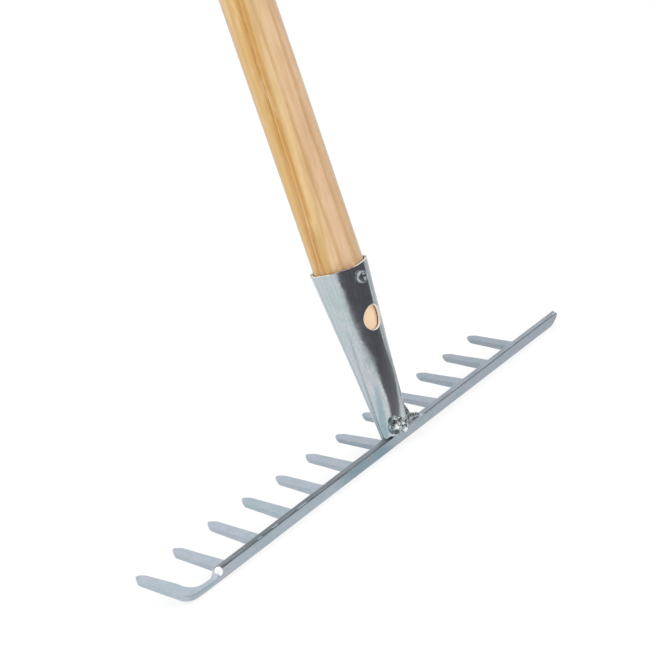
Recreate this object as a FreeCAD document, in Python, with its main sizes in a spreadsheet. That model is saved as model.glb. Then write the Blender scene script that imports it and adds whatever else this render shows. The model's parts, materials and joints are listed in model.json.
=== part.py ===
import FreeCAD, Part
import os
import math
import Sketcher

# Level-head garden rake, millimetres, +Z up along the handle.
# Origin: where the handle's axis meets the middle of the bar's underside.
# X runs along the bar, -Y is the front, the side the tines reach towards.
# The head (bar and tines) is modelled level and leans back about X by head_tilt,
# so the tines rise above level towards their points.

os.makedirs("parts", exist_ok=True)

doc = FreeCAD.newDocument("garden_rake")
dims = doc.addObject("Spreadsheet::Sheet", "dims")

VALUES = {
    # bar
    "head_tilt": 15.5,          # tine rise above level, degrees
    "bar_depth": 4.2,           # thin side of the bar stock, along Y
    "bar_height": 6.2,          # broad side of the bar stock
    "bar_left": -173.8,         # plain cut end
    "bar_bend_x": 156.5,        # where the stock is cut down into the end tine
    "bend_flat_x": 161.0,       # from here on it is a low flat strip
    "bend_low_top": 2.7,        # height of that strip
    "bend_strip_front": 1.6,    # front face of that strip, in front of the bar's middle
    "bend_outer_radius": 6.0,   # outside of the turn, in plan
    "bend_inner_radius": 6.5,   # inside of the turn
    "end_cut_long": 10.0,       # lower corner cut off the plain end: length
    "end_cut_high": 4.8,        # and height
    "end_cut_mid_long": 0.3,    # middle point of that cut, as a share of its length
    "end_cut_mid_high": 0.45,   # and of its height
    "end_bevel": 1.9,           # slant of the plain end, seen in plan
    "end_bevel_start": 0.6,     # the slant starts this far behind the front face
    "overcut": 1.0,             # the end cuts run this far past the bar
    # tines
    "tine_pitch": 27.47,
    "end_tine_x": 177.9,        # centre line of the bent end tine
    "end_leg_root": 12.0,       # end tine leg starts this far in front of the bar's middle
    "end_reach": 34.7,          # end tine point, in front of the bar's middle
    "tine_root_width": 7.2,
    "tine_root_thick": 3.8,
    "tine_tip_width": 6.5,
    "tine_tip_thick": 2.7,
    "tine_mid": 3.05,           # centre of the tine above the bar's underside
    "tine_point_short": 4.6,    # bevel length on the -X side of the point
    "tine_point_long": 5.2,     # bevel length on the +X side of the point
    "tine_point_shift": 0.5,    # point sits this far to the -X side
    "tine_point_flat": 0.45,    # half width of the blunt point
    "tine_edge_bevel": 0.5,
    "outline_margin": 2.0,      # waste trimmed outside the tine's plan outline
    # socket
    "rim_height": 103.45,
    "rim_radius": 15.97,
    "ring_slack": 0.001,        # minor radius of a round section is this much smaller
    "socket_low": 2.0,
    "socket_low_half_width": 11.92,
    "socket_low_half_depth": 4.0,
    "socket_low_aside": 0.28,   # the oval end sits this far towards -X
    "socket_low_back": 0.3,     # and this far towards +Y
    "socket_wall": 1.5,
    "socket_overrun": 0.01,     # the hollow runs this far past both ends
    "hole_radius": 6.9,
    "hole_height": 72.6,
    "hole_turn": 1.5,           # side hole, round from +Y towards +X, degrees
    "drill_reach": 40.0,
    "room_length": 60.0,        # block cut from the socket's foot: along X
    "room_width": 20.0,         # along Y
    "room_below": 10.0,         # below the bar's underside
    "fit_gap": 0.02,            # clearance between touching pieces
    # screw
    "screw_turn": 11.1,         # round from +Y towards +X, degrees
    "screw_height": 96.3,
    "screw_sink": 0.25,         # underside of the head, inside the rim radius
    "screw_head_radius": 3.75,
    "screw_head_height": 2.2,
    "screw_shank_radius": 2.0,
    "screw_shank_length": 21.0,
    "screw_tip_share": 0.45,    # radius near the tip, as a share of the shank's
    "screw_tip_length": 0.8,    # from the tip to that radius
    "screw_taper_length": 4.0,  # from the tip to the full shank
    "screw_hole_gap": 0.1,
    "pilot_extra": 0.5,         # the pilot hole is this much longer than the shank
    "recess_arm": 1.7,          # cross recess, half its span
    "recess_half_width": 0.4,   # half the width of an arm
    "recess_depth": 1.3,
    # handle
    "handle_radius": 14.0,
    "handle_top": 1400.0,
    "handle_end_round": 5.0,
    "tenon_low": 34.0,
    "tenon_gap": 0.45,
    # weld
    "weld_room_length": 80.0,   # length of bar kept clear of the weld
    "spot_radius": 2.4,         # small drop at the end of the bar's top edge, upright radius
    "spot_share_x": 0.85,       # its other radii, as shares of that one
    "spot_share_y": 0.8,
    "spot_x": 156.7,
    "spot_y": 0.9,
    "spot_z": 4.9,
}
# Straight tines, counted from the bent end tine, which is number 1:
# rise of the point in the head's frame, reach in front of the bar.
TINES = {
    2: (0.74, 32.1), 3: (1.6, 31.9), 4: (1.28, 31.5), 5: (0.72, 30.3),
    6: (0.14, 30.8), 7: (-1.1, 30.8), 8: (-0.8, 32.0), 9: (-0.6, 31.8),
    10: (-0.4, 31.6), 11: (-0.3, 31.2), 12: (0.15, 31.0),
}
for number, (rise, reach) in TINES.items():
    VALUES["tine_rise_no%d" % number] = rise
    VALUES["tine_reach_no%d" % number] = reach

for row, (alias, number) in enumerate(VALUES.items(), start=1):
    dims.set("A%d" % row, alias)
    dims.set("B%d" % row, str(number))
    dims.setAlias("B%d" % row, alias)
doc.recompute()

TILT_AXIS = (-1, 0, 0)          # leans the head; a quarter turn lays +Z onto +Y
TURN_AXIS = (0, 0, -1)          # turns from +Y towards +X


# ---------------------------------------------------------------- expressions
# Sizes are written as text, with {alias} standing for a cell of the sheet.
def size(alias):
    return float(dims.get(alias))


def bound(text):
    """The text as an expression that refers to the sheet."""
    return text.replace("{", "dims.").replace("}", "")


def value(text):
    """The number the text stands for."""
    for mark in "+-*/()":
        text = text.replace(mark, " " + mark + " ")
    tokens = text.replace("{", " ").replace("}", " ").split()

    def atom():
        token = tokens.pop(0)
        if token == "(":
            result = total()
            tokens.pop(0)
            return result
        if token == "-":
            return -atom()
        return size(token) if token in VALUES else float(token)

    def product():
        result = atom()
        while tokens and tokens[0] in "*/":
            multiply = tokens.pop(0) == "*"
            right = atom()
            result = result * right if multiply else result / right
        return result

    def total():
        result = product()
        while tokens and tokens[0] in "+-":
            add = tokens.pop(0) == "+"
            right = product()
            result = result + right if add else result - right
        return result

    return total()


def drive(obj, prop, text):
    """Set a property and bind it to the sheet where its text refers to it."""
    setattr(obj, prop, value(text))
    if "{" in text:
        obj.setExpression(prop, bound(text))


def place(obj, x="0", y="0", z="0", axis=(0, 0, 1), angle="0"):
    obj.Placement = FreeCAD.Placement(
        FreeCAD.Vector(value(x), value(y), value(z)),
        FreeCAD.Rotation(FreeCAD.Vector(*axis), value(angle)))
    for path, text in (("Base.x", x), ("Base.y", y), ("Base.z", z), ("Rotation.Angle", angle)):
        if "{" in text:
            obj.setExpression("Placement." + path, bound(text))


# ---------------------------------------------------------------- building helpers
def sized(kind, name, **props):
    obj = doc.addObject(kind, name)
    for prop, text in props.items():
        drive(obj, prop, text)
    return obj


def fuse(name, shapes):
    obj = doc.addObject("Part::MultiFuse", name)
    obj.Shapes = shapes
    return obj


def cut(name, base, tool):
    obj = doc.addObject("Part::Cut", name)
    obj.Base = base
    obj.Tool = tool
    return obj


def rotated(name, obj, axis, angle):
    """The object in a compound that is rotated about the origin."""
    group = doc.addObject("Part::Compound", name)
    group.Links = [obj]
    place(group, axis=axis, angle=angle)
    return group


def rod_along_y(name, radius, length, z, turn, y="0"):
    """Cylinder reaching towards +Y, then turned about the handle's axis."""
    rod = sized("Part::Cylinder", name, Radius=radius, Height=length)
    place(rod, y=y, z=z, axis=TILT_AXIS, angle="90")
    return rotated(name + "_set", rod, TURN_AXIS, turn)


def lofted(name, radius, rim_z, low_size, low_z,
           aside="-{socket_low_aside}", back="{socket_low_back}"):
    """Ruled solid from a round section at the rim down to an oval of two half sizes."""
    ring = sized("Part::Ellipse", name + "_ring",
                 MajorRadius=radius, MinorRadius=radius + " - {ring_slack}")
    place(ring, z=rim_z)
    oval = sized("Part::Ellipse", name + "_oval",
                 MajorRadius=low_size[0], MinorRadius=low_size[1])
    place(oval, x=aside, y=back, z=low_z)
    loft = doc.addObject("Part::Loft", name)
    loft.Sections = [oval, ring]
    loft.Solid = True
    loft.Ruled = True
    return loft


def origin_plane(body, role):
    for feature in body.Origin.OriginFeatures:
        if feature.Role == role:
            return feature
    raise RuntimeError("no " + role)


def polygon(body, name, role, points, offset="0"):
    """Closed outline whose corners, pairs of texts, are bound to the sheet."""
    sketch = body.newObject("Sketcher::SketchObject", name)
    sketch.AttachmentSupport = [(origin_plane(body, role), "")]
    sketch.MapMode = "FlatFace"
    if "{" in offset:
        sketch.AttachmentOffset = FreeCAD.Placement(
            FreeCAD.Vector(0, 0, value(offset)), FreeCAD.Rotation())
        sketch.setExpression("AttachmentOffset.Base.z", bound(offset))
    corners = [FreeCAD.Vector(value(x), value(y), 0) for x, y in points]
    count = len(corners)
    for i in range(count):
        sketch.addGeometry(Part.LineSegment(corners[i], corners[(i + 1) % count]), False)
    for i in range(count):
        sketch.addConstraint(Sketcher.Constraint("Coincident", i, 2, (i + 1) % count, 1))
    for i, (x, y) in enumerate(points):
        for kind, text, number, axis in (("DistanceX", x, corners[i].x, -2),
                                         ("DistanceY", y, corners[i].y, -1)):
            if abs(number) < 1e-9:
                sketch.addConstraint(Sketcher.Constraint("PointOnObject", i, 1, axis))
            elif number > 0:
                index = sketch.addConstraint(Sketcher.Constraint(kind, -1, 1, i, 1, number))
                sketch.setExpression("Constraints[%d]" % index, bound(text))
            else:
                index = sketch.addConstraint(Sketcher.Constraint(kind, i, 1, -1, 1, -number))
                sketch.setExpression("Constraints[%d]" % index, bound("-(" + text + ")"))
    return sketch


def cut_through(body, name, profile, base):
    """Pocket through everything, on both sides of the sketch."""
    pocket = body.newObject("PartDesign::Pocket", name)
    pocket.Profile = profile
    pocket.Type = 1
    pocket.Midplane = True
    doc.recompute()
    if pocket.Shape.Volume > base.Shape.Volume - 1:
        raise RuntimeError(name + " removed no material")
    return pocket


# ---------------------------------------------------------------- tines
def build_tine(name, root, reach, rise):
    """Flat tine: thins and narrows from root to point, with a skew pointed tip.
    In its own frame the bar's middle is at the origin and the point at y = -reach."""
    body = doc.addObject("PartDesign::Body", name)
    start, tip = "-" + root, "-(" + reach + ")"
    side = polygon(body, name + "_side", "YZ_Plane", [
        (start, "{tine_mid} - {tine_root_thick} / 2"),
        (start, "{tine_mid} + {tine_root_thick} / 2"),
        (tip, "{tine_mid} + " + rise + " + {tine_tip_thick} / 2"),
        (tip, "{tine_mid} + " + rise + " - {tine_tip_thick} / 2"),
    ])
    blank = body.newObject("PartDesign::Pad", name + "_blank")
    blank.Profile = side
    blank.Midplane = True
    drive(blank, "Length", "{tine_root_width}")
    doc.recompute()

    # waste around the plan outline, one loop open at the root
    half_root, half_tip = "{tine_root_width} / 2", "{tine_tip_width} / 2"
    plan = polygon(body, name + "_plan", "XY_Plane", [
        (half_root, start),
        (half_tip, tip + " + {tine_point_long}"),
        ("-{tine_point_shift} + {tine_point_flat}", tip),
        ("-{tine_point_shift} - {tine_point_flat}", tip),
        ("-" + half_tip, tip + " + {tine_point_short}"),
        ("-" + half_root, start),
        ("-" + half_root + " - {outline_margin}", start),
        ("-" + half_root + " - {outline_margin}", tip + " - {outline_margin}"),
        (half_root + " + {outline_margin}", tip + " - {outline_margin}"),
        (half_root + " + {outline_margin}", start),
    ])
    outline = cut_through(body, name + "_outline", plan, blank)

    # the upper and lower edges of the point: near the tip, nearly level, not along Y
    point_start = value(tip) + size("tine_point_long") + 0.3
    edges = []
    for i, edge in enumerate(outline.Shape.Edges, start=1):
        ends = [vertex.Point for vertex in edge.Vertexes]
        level = abs(ends[0].z - ends[-1].z) < 1.2
        across = abs(ends[0].x - ends[-1].x) > 0.3
        if level and across and max(end.y for end in ends) < point_start:
            edges.append("Edge%d" % i)
    bevel = body.newObject("PartDesign::Chamfer", name + "_bevel")
    bevel.Base = (outline, edges)
    drive(bevel, "Size", "{tine_edge_bevel}")
    body.Tip = bevel
    doc.recompute()
    return body


def build_straight_tine(number):
    body = build_tine("tine_%02d" % number, "{bar_depth} / 2",
                      "{bar_depth} / 2 + {tine_reach_no%d}" % number,
                      "{tine_rise_no%d}" % number)
    place(body, x="{end_tine_x} - %d * {tine_pitch}" % (number - 1),
          axis=TILT_AXIS, angle="{head_tilt}")
    return body


# ---------------------------------------------------------------- bar with its bent end tine
def build_straight_bar():
    """Straight stock with a trimmed plain end."""
    body = doc.addObject("PartDesign::Body", "bar_straight")
    front, back = "-{bar_depth} / 2", "{bar_depth} / 2"
    section = polygon(body, "bar_section", "YZ_Plane", [
        (front, "0"), (back, "0"), (back, "{bar_height}"), (front, "{bar_height}"),
    ], offset="{bar_left}")
    stock = body.newObject("PartDesign::Pad", "bar_length")
    stock.Profile = section
    drive(stock, "Length", "{bar_bend_x} - {bar_left}")
    doc.recompute()

    corner = polygon(body, "plain_end_corner", "XZ_Plane", [
        ("{bar_left} - {overcut}", "{end_cut_high}"),
        ("{bar_left}", "{end_cut_high}"),
        ("{bar_left} + {end_cut_long} * {end_cut_mid_long}",
         "{end_cut_high} * {end_cut_mid_high}"),
        ("{bar_left} + {end_cut_long}", "0"),
        ("{bar_left} + {end_cut_long}", "-{overcut}"),
        ("{bar_left} - {overcut}", "-{overcut}"),
    ])
    trim = cut_through(body, "plain_end_trim", corner, stock)

    slant = polygon(body, "plain_end_slant", "XY_Plane", [
        ("{bar_left} - {overcut}", front + " + {end_bevel_start}"),
        ("{bar_left}", front + " + {end_bevel_start}"),
        ("{bar_left} + {end_bevel}", back),
        ("{bar_left} + {end_bevel}", back + " + {overcut}"),
        ("{bar_left} - {overcut}", back + " + {overcut}"),
    ])
    body.Tip = cut_through(body, "plain_end_bevel", slant, trim)
    return body


def smooth(start, end, x):
    """Eased step from 0 at start to 1 at end."""
    share = min(1.0, max(0.0, (x - start) / (end - start)))
    return share * share * (3 - 2 * share)


def turn_path(x_from, face, leg_x, radius, y_end, share):
    """Point at a share of the way along one edge of the strip in plan:
    straight along X, a quarter turn, straight towards -Y."""
    run = (leg_x - radius) - x_from
    arc = math.pi / 2 * radius
    tail = (face - radius) - y_end
    travel = (run + arc + tail) * share
    if travel <= run:
        return (x_from + travel, face)
    if travel <= run + arc:
        angle = (travel - run) / radius
        return (leg_x - radius + radius * math.sin(angle),
                face - radius + radius * math.cos(angle))
    return (leg_x, face - radius - (travel - run - arc))


def closed_wire(points):
    return Part.makePolygon(points + [points[0]])


def upright_section(inner, outer, low, high):
    return closed_wire([FreeCAD.Vector(*inner, low), FreeCAD.Vector(*inner, high),
                        FreeCAD.Vector(*outer, high), FreeCAD.Vector(*outer, low)])


CUT_DOWN_STEPS = 6
TURN_STEPS = 16
TURN_RISE_START = 0.1       # share of the turn after which the strip starts to rise


def bend_sections():
    """Sections of the stock beyond the straight bar: its upper part is cut away, and the
    flat strip that is left turns in plan, widens and rises into the end tine."""
    back, top = size("bar_depth") / 2, size("bar_height")
    front = -back
    bend_x, flat_x = size("bar_bend_x"), size("bend_flat_x")
    strip_top, strip_front = size("bend_low_top"), -size("bend_strip_front")
    half_width = size("tine_root_width") / 2
    leg_x, leg_y = size("end_tine_x"), -size("end_leg_root")
    leg_low = size("tine_mid") - size("tine_root_thick") / 2
    leg_high = size("tine_mid") + size("tine_root_thick") / 2
    wires = []
    for i in range(CUT_DOWN_STEPS + 1):
        share = i / CUT_DOWN_STEPS
        eased = smooth(0.0, 1.0, share)
        x = bend_x + (flat_x - bend_x) * share
        face = front + (strip_front - front) * eased
        wires.append(upright_section((x, face), (x, back), 0.0, top + (strip_top - top) * eased))
    for i in range(1, TURN_STEPS + 1):
        share = i / TURN_STEPS
        eased = smooth(TURN_RISE_START, 1.0, share)
        inner = turn_path(flat_x, strip_front, leg_x - half_width,
                          size("bend_inner_radius"), leg_y, share)
        outer = turn_path(flat_x, back, leg_x + half_width,
                          size("bend_outer_radius"), leg_y, share)
        wires.append(upright_section(inner, outer, leg_low * eased,
                                     strip_top + (leg_high - strip_top) * eased))
    return wires


def build_bar():
    straight = build_straight_bar()
    bend = doc.addObject("Part::Feature", "bar_bend")
    bend.Shape = Part.makeLoft(bend_sections(), True, False, False)
    end_leg = build_tine("end_leg", "{end_leg_root}", "{end_reach}", "0")
    place(end_leg, x="{end_tine_x}")
    doc.recompute()
    bar = fuse("rake_bar", [straight, bend, end_leg])
    place(bar, axis=TILT_AXIS, angle="{head_tilt}")
    doc.recompute()
    return bar


# ---------------------------------------------------------------- socket
def build_socket():
    """Hollow socket, round at the rim and oval at the bar, drilled on its +Y side."""
    outside = lofted("socket_outside", "{rim_radius}", "{rim_height}",
                     ("{socket_low_half_width}", "{socket_low_half_depth}"), "{socket_low}")
    inside = lofted("socket_inside", "{rim_radius} - {socket_wall}",
                    "{rim_height} + {socket_overrun}",
                    ("{socket_low_half_width} - {socket_wall}",
                     "{socket_low_half_depth} - {socket_wall}"),
                    "{socket_low} - {socket_overrun}")
    doc.recompute()
    shell = cut("socket_shell", outside, inside)
    side_hole = rod_along_y("socket_side_hole", "{hole_radius}", "{drill_reach}",
                            "{hole_height}", "{hole_turn}")
    screw_hole = rod_along_y("socket_screw_hole", "{screw_shank_radius} + {screw_hole_gap}",
                             "{drill_reach}", "{screw_height}", "{screw_turn}")
    drilled = cut("socket_drilled", shell, fuse("socket_drills", [side_hole, screw_hole]))

    # room for the bar: everything behind its front face and below its top is cut away
    room = sized("Part::Box", "bar_room", Length="{room_length}", Width="{room_width}",
                 Height="{bar_height} + {room_below} + {fit_gap}")
    place(room, x="-{room_length} / 2", y="-{bar_depth} / 2 - {fit_gap}", z="-{room_below}")
    socket = cut("socket", drilled, rotated("bar_room_set", room, TILT_AXIS, "{head_tilt}"))
    doc.recompute()
    return socket


# ---------------------------------------------------------------- handle
def build_handle():
    """Round shaft with a tenon tapering into the socket, and a pilot hole for the screw."""
    shaft = sized("Part::Cylinder", "handle_shaft", Radius="{handle_radius}",
                  Height="{handle_top} - {rim_height}")
    place(shaft, z="{rim_height}")
    doc.recompute()
    rounding = size("handle_end_round")
    rounded = doc.addObject("Part::Fillet", "handle_shaft_rounded")
    rounded.Base = shaft
    rounded.Edges = [
        (i, rounding, rounding) for i, edge in enumerate(shaft.Shape.Edges, start=1)
        if min(vertex.Point.z for vertex in edge.Vertexes) > size("handle_top") - 0.01]

    # the tenon's low end lies this share of the way up the socket
    share = "(({tenon_low} - {socket_low}) / ({rim_height} - {socket_low}))"

    def inside_socket(low):
        """Half size of the tenon's low end, a gap inside the socket's wall."""
        return (low + " + ({rim_radius} - " + low + ") * " + share
                + " - {socket_wall} - {tenon_gap}")

    tenon = lofted("handle_tenon", "{handle_radius}", "{rim_height}",
                   (inside_socket("{socket_low_half_width}"),
                    inside_socket("{socket_low_half_depth}")),
                   "{tenon_low}",
                   aside="-{socket_low_aside} * (1 - " + share + ")",
                   back="{socket_low_back} * (1 - " + share + ")")
    doc.recompute()
    stick = fuse("handle_stick", [rounded, tenon])
    pilot = rod_along_y("handle_pilot", "{screw_shank_radius} + {fit_gap}",
                        "{screw_shank_length} + {pilot_extra}", "{screw_height}",
                        "{screw_turn}", y="{rim_radius} - {screw_shank_length}")
    handle = cut("handle", stick, pilot)
    doc.recompute()
    return handle


# ---------------------------------------------------------------- screw
# Outline of the domed head: shares of its radius and of its height.
SCREW_DOME = [(1, 0), (1, 0.3), (0.82, 0.72), (0.5, 0.95), (0, 1)]


def build_screw():
    """Screw along +Y, with a domed head and a cross recess."""
    body = doc.addObject("PartDesign::Body", "socket_screw")
    tip = "{rim_radius} - {screw_shank_length}"
    seat = "{rim_radius} - {screw_sink}"
    profile = polygon(body, "screw_profile", "XY_Plane", [
        ("0", tip),
        ("{screw_shank_radius} * {screw_tip_share}", tip + " + {screw_tip_length}"),
        ("{screw_shank_radius}", tip + " + {screw_taper_length}"),
        ("{screw_shank_radius}", seat),
    ] + [
        ("{screw_head_radius} * %g" % across, seat + " + {screw_head_height} * %g" % up)
        for across, up in SCREW_DOME
    ])
    turned = body.newObject("PartDesign::Revolution", "screw_turned")
    turned.Profile = profile
    turned.ReferenceAxis = (profile, ["V_Axis"])
    turned.Angle = 360
    doc.recompute()

    near, far = "{recess_half_width}", "{recess_arm}"
    cross = polygon(body, "screw_cross", "XZ_Plane", [
        ("-" + near, "-" + far), (near, "-" + far), (near, "-" + near), (far, "-" + near),
        (far, near), (near, near), (near, far), ("-" + near, far),
        ("-" + near, near), ("-" + far, near), ("-" + far, "-" + near), ("-" + near, "-" + near),
    ], offset="-(" + seat + " + {screw_head_height})")
    recess = body.newObject("PartDesign::Pocket", "screw_recess")
    recess.Profile = cross
    drive(recess, "Length", "{recess_depth}")
    doc.recompute()
    # a pocket that points away from the head removes nothing and has to be reversed
    if not (recess.Shape.Volume < turned.Shape.Volume - 0.5):
        recess.Reversed = True
        doc.recompute()
    if not (recess.Shape.Volume < turned.Shape.Volume - 0.5):
        raise RuntimeError("the screw's recess cut nothing")
    body.Tip = recess
    place(body, z="{screw_height}", axis=TURN_AXIS, angle="{screw_turn}")
    doc.recompute()
    return body


# ---------------------------------------------------------------- weld
# One lumpy bead across the socket's foot and along the bar's top:
# x, centre y, centre z, half size along y, half size along z.
BEAD = [
    (10.2, 4.6, 12.0, 0.4, 0.6),
    (8.5, 4.8, 12.0, 1.4, 3.0),
    (6.0, 5.2, 11.4, 2.0, 4.4),
    (3.5, 5.6, 11.2, 2.4, 5.0),
    (1.0, 5.6, 10.8, 2.5, 5.2),
    (-1.5, 5.2, 9.8, 2.4, 4.6),
    (-4.5, 4.6, 9.2, 2.2, 3.6),
    (-7.5, 3.8, 9.6, 2.0, 3.8),
    (-10.0, 3.0, 11.2, 1.7, 5.0),
    (-12.0, 2.7, 9.6, 1.7, 3.0),
    (-14.5, 2.4, 8.6, 1.6, 2.0),
    (-17.4, 2.2, 7.5, 1.5, 1.4),
    (-19.6, 2.2, 6.8, 1.0, 0.8),
    (-20.6, 2.2, 6.4, 0.4, 0.4),
]
BEAD_SIDES = 14


def build_weld():
    """Bead that joins the socket to the bar, cut clear of both."""
    angles = [2 * math.pi * k / BEAD_SIDES for k in range(BEAD_SIDES)]
    bead = doc.addObject("Part::Feature", "weld_bead")
    bead.Shape = Part.makeLoft([
        closed_wire([FreeCAD.Vector(x, y + half_y * math.cos(angle), z + half_z * math.sin(angle))
                     for angle in angles])
        for x, y, z, half_y, half_z in BEAD], True, True, False)

    bar_room = sized("Part::Box", "weld_bar_room", Length="{weld_room_length}",
                     Width="{bar_depth} + 2 * {fit_gap}", Height="{bar_height} + {fit_gap}")
    place(bar_room, x="-{weld_room_length} / 2", y="-{bar_depth} / 2 - {fit_gap}")
    bar_room_set = rotated("weld_bar_room_set", bar_room, TILT_AXIS, "{head_tilt}")
    socket_room = lofted("weld_socket_room", "{rim_radius} + {fit_gap}", "{rim_height}",
                         ("{socket_low_half_width} + {fit_gap}",
                          "{socket_low_half_depth} + {fit_gap}"), "{socket_low}")
    doc.recompute()
    weld = cut("socket_weld", bead, fuse("weld_neighbours", [bar_room_set, socket_room]))
    doc.recompute()
    return weld


def build_end_bead(bar):
    """Small round drop of weld metal where the bar's full height ends."""
    ball = sized("Part::Ellipsoid", "end_bead_ball", Radius1="{spot_radius}",
                 Radius2="{spot_radius} * {spot_share_x}",
                 Radius3="{spot_radius} * {spot_share_y}",
                 Angle1="-90", Angle2="90", Angle3="360")
    place(ball, x="{spot_x}", y="{spot_y}", z="{spot_z}")
    end_bead = cut("end_bead", rotated("end_bead_set", ball, TILT_AXIS, "{head_tilt}"), bar)
    doc.recompute()
    return end_bead


# ---------------------------------------------------------------- build, check and write
pieces = [build_straight_tine(number) for number in TINES]
rake_bar = build_bar()
pieces += [rake_bar, build_socket(), build_handle(), build_screw(), build_weld(),
           build_end_bead(rake_bar)]

for obj in doc.Objects:
    if "Invalid" in obj.State or "Error" in obj.State:
        raise RuntimeError("%s failed: %s" % (obj.Name, obj.State))
for piece in pieces:
    shape = piece.Shape
    if shape.isNull() or not shape.isValid() or not shape.Solids:
        raise RuntimeError("%s has no valid solid" % piece.Label)
for piece in pieces:
    shape = piece.Shape
    if len(shape.Solids) == 1:
        shape = shape.Solids[0]
    shape.exportStep(os.path.join("parts", piece.Label + ".step"))
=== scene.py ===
"""A garden rake head on its handle: zinc-plated bar and tines, sheet socket, wooden shaft.

X runs along the bar, the tines point towards -Y, and the socket and handle stand up +Z.
The head (bar and tines) is tilted about X. Its own frame is X, "back" (away from the tines)
and "up". Sizes are in millimetres and become metres when a mesh is made. Materials read
object coordinates, which are in metres.
"""
import bpy
import bmesh
import json
import math
from functools import cached_property
from mathutils import Vector, Matrix, noise


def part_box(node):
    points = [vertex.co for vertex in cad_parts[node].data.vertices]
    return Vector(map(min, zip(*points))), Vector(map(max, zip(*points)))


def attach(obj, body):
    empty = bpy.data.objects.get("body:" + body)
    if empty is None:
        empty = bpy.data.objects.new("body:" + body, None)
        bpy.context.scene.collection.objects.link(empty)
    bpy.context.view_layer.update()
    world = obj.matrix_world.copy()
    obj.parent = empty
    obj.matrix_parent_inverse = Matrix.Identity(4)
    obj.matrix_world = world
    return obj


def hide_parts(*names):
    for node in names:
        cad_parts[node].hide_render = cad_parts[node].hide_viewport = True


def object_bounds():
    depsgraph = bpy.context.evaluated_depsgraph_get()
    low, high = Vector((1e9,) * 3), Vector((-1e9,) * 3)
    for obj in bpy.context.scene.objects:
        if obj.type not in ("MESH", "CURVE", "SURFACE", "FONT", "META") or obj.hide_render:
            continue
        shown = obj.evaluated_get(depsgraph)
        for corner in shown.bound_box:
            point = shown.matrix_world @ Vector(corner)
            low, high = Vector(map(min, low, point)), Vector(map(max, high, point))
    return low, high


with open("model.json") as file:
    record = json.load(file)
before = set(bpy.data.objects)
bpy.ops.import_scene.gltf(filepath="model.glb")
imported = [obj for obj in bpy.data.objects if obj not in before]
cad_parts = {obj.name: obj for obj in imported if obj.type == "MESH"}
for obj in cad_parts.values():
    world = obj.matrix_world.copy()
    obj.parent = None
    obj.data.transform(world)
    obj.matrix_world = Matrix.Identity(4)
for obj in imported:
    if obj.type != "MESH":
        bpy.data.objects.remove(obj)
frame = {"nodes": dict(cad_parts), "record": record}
cad_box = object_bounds()

MM = 0.001
DEGREES = 180 / math.pi

# ------------------------------------------------------------------ head frame
TILT = math.radians(15.5)
for mount in frame["record"].get("mounts", []):
    if mount.get("name") == "bar_underside" and mount.get("axis"):
        mount_axis = mount["axis"]
        TILT = math.atan2(-mount_axis[1], -mount_axis[2])
ALONG = Vector((1, 0, 0))
BACK = Vector((0, math.cos(TILT), -math.sin(TILT)))
UP = Vector((0, math.sin(TILT), math.cos(TILT)))


def head(x, back, up):
    """A point of the tilted head in the object's frame."""
    return ALONG * x + BACK * back + UP * up


def head_coords(node):
    """The CAD piece's vertices as (x, back, up)."""
    points = [vert.co / MM for vert in frame["nodes"][node].data.vertices]
    return [(p.x, p.dot(BACK), p.dot(UP)) for p in points]


def box_mm(node):
    low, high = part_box(node)
    return low / MM, high / MM


# ------------------------------------------------------------------ sizes
# bar stock, read off the CAD bar where it is straight
bar_points = head_coords("rake_bar")
straight = [p for p in bar_points if p[0] < 150]
BAR_LEFT = min(p[0] for p in bar_points)
BAR_TOP = max(p[2] for p in straight)
BAR_FRONT = min(p[1] for p in straight)
BAR_BACK = max(p[1] for p in straight)
BAR_EDGE_R = 0.42

# the bar's +X end, twisted flat and bent forward into the end tine
END_REACH = -min(p[1] for p in bar_points)
tip_points = [p for p in bar_points if p[1] < -END_REACH + 0.05]
END_MID = sum(p[2] for p in tip_points) / len(tip_points)
END_TINE_X = 177.9
BEND_X, FLAT_X = 156.5, 161.0         # slope from bar height down to strip height
LEG = 12.0                            # distance forward at which the tine proper starts
STRIP_TOP, STRIP_FRONT = 2.7, -1.6
BEND_R_OUTER, BEND_R_INNER = 6.0, 6.5

# tines
ROOT_W, ROOT_T = 7.2, 3.8             # width and thickness at the root
TIP_W, TIP_T = 6.5, 2.7               # and where the tip begins
BLADE_MID = 3.05                      # height of the root's middle
TIP_SHORT, TIP_LONG = 4.6, 4.7        # length of the point's -X and +X sides
TIP_SHIFT, TIP_FLAT = 0.5, 0.45       # the point's offset towards -X and its half width
TIP_THINNING = 1.1                    # length over which the very end gets thin
BLADE_EDGE_R = 0.62
ROOT_FLARE = 0.35

# socket: oval at the foot, round at the rim
RIM_Z, RIM_R = box_mm("socket")[1].z, box_mm("socket")[1].x
LOW_Z = 2.0
LOW_HALF_X, LOW_HALF_Y = 11.92, 4.0
LOW_SHIFT = Vector((-0.28, 0.3, 0))
WALL = 1.5
HOLE_Z, HOLE_R = 72.6, 6.9
HOLE_TURN = math.radians(1.5)         # from +Y towards +X, as for the screw
SCREW_Z, SCREW_HOLE_R = 96.3, 2.1
SCREW_TURN = math.radians(11.1)

# handle
handle_low, handle_high = box_mm("handle")
HANDLE_R = 14.0
HANDLE_TOP, TENON_LOW = handle_high.z, handle_low.z


# ------------------------------------------------------------------ mesh helpers
def smoothstep(start, end, x):
    share = min(1.0, max(0.0, (x - start) / (end - start)))
    return share * share * (3 - 2 * share)


def lerp(start, end, share):
    return start + (end - start) * share


def wobble(point, scale, amount, seed=0.0):
    """Small smooth irregularity, the same on every run."""
    return noise.noise(Vector(point) * scale + Vector((seed, seed * 1.7, -seed))) * amount


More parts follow.
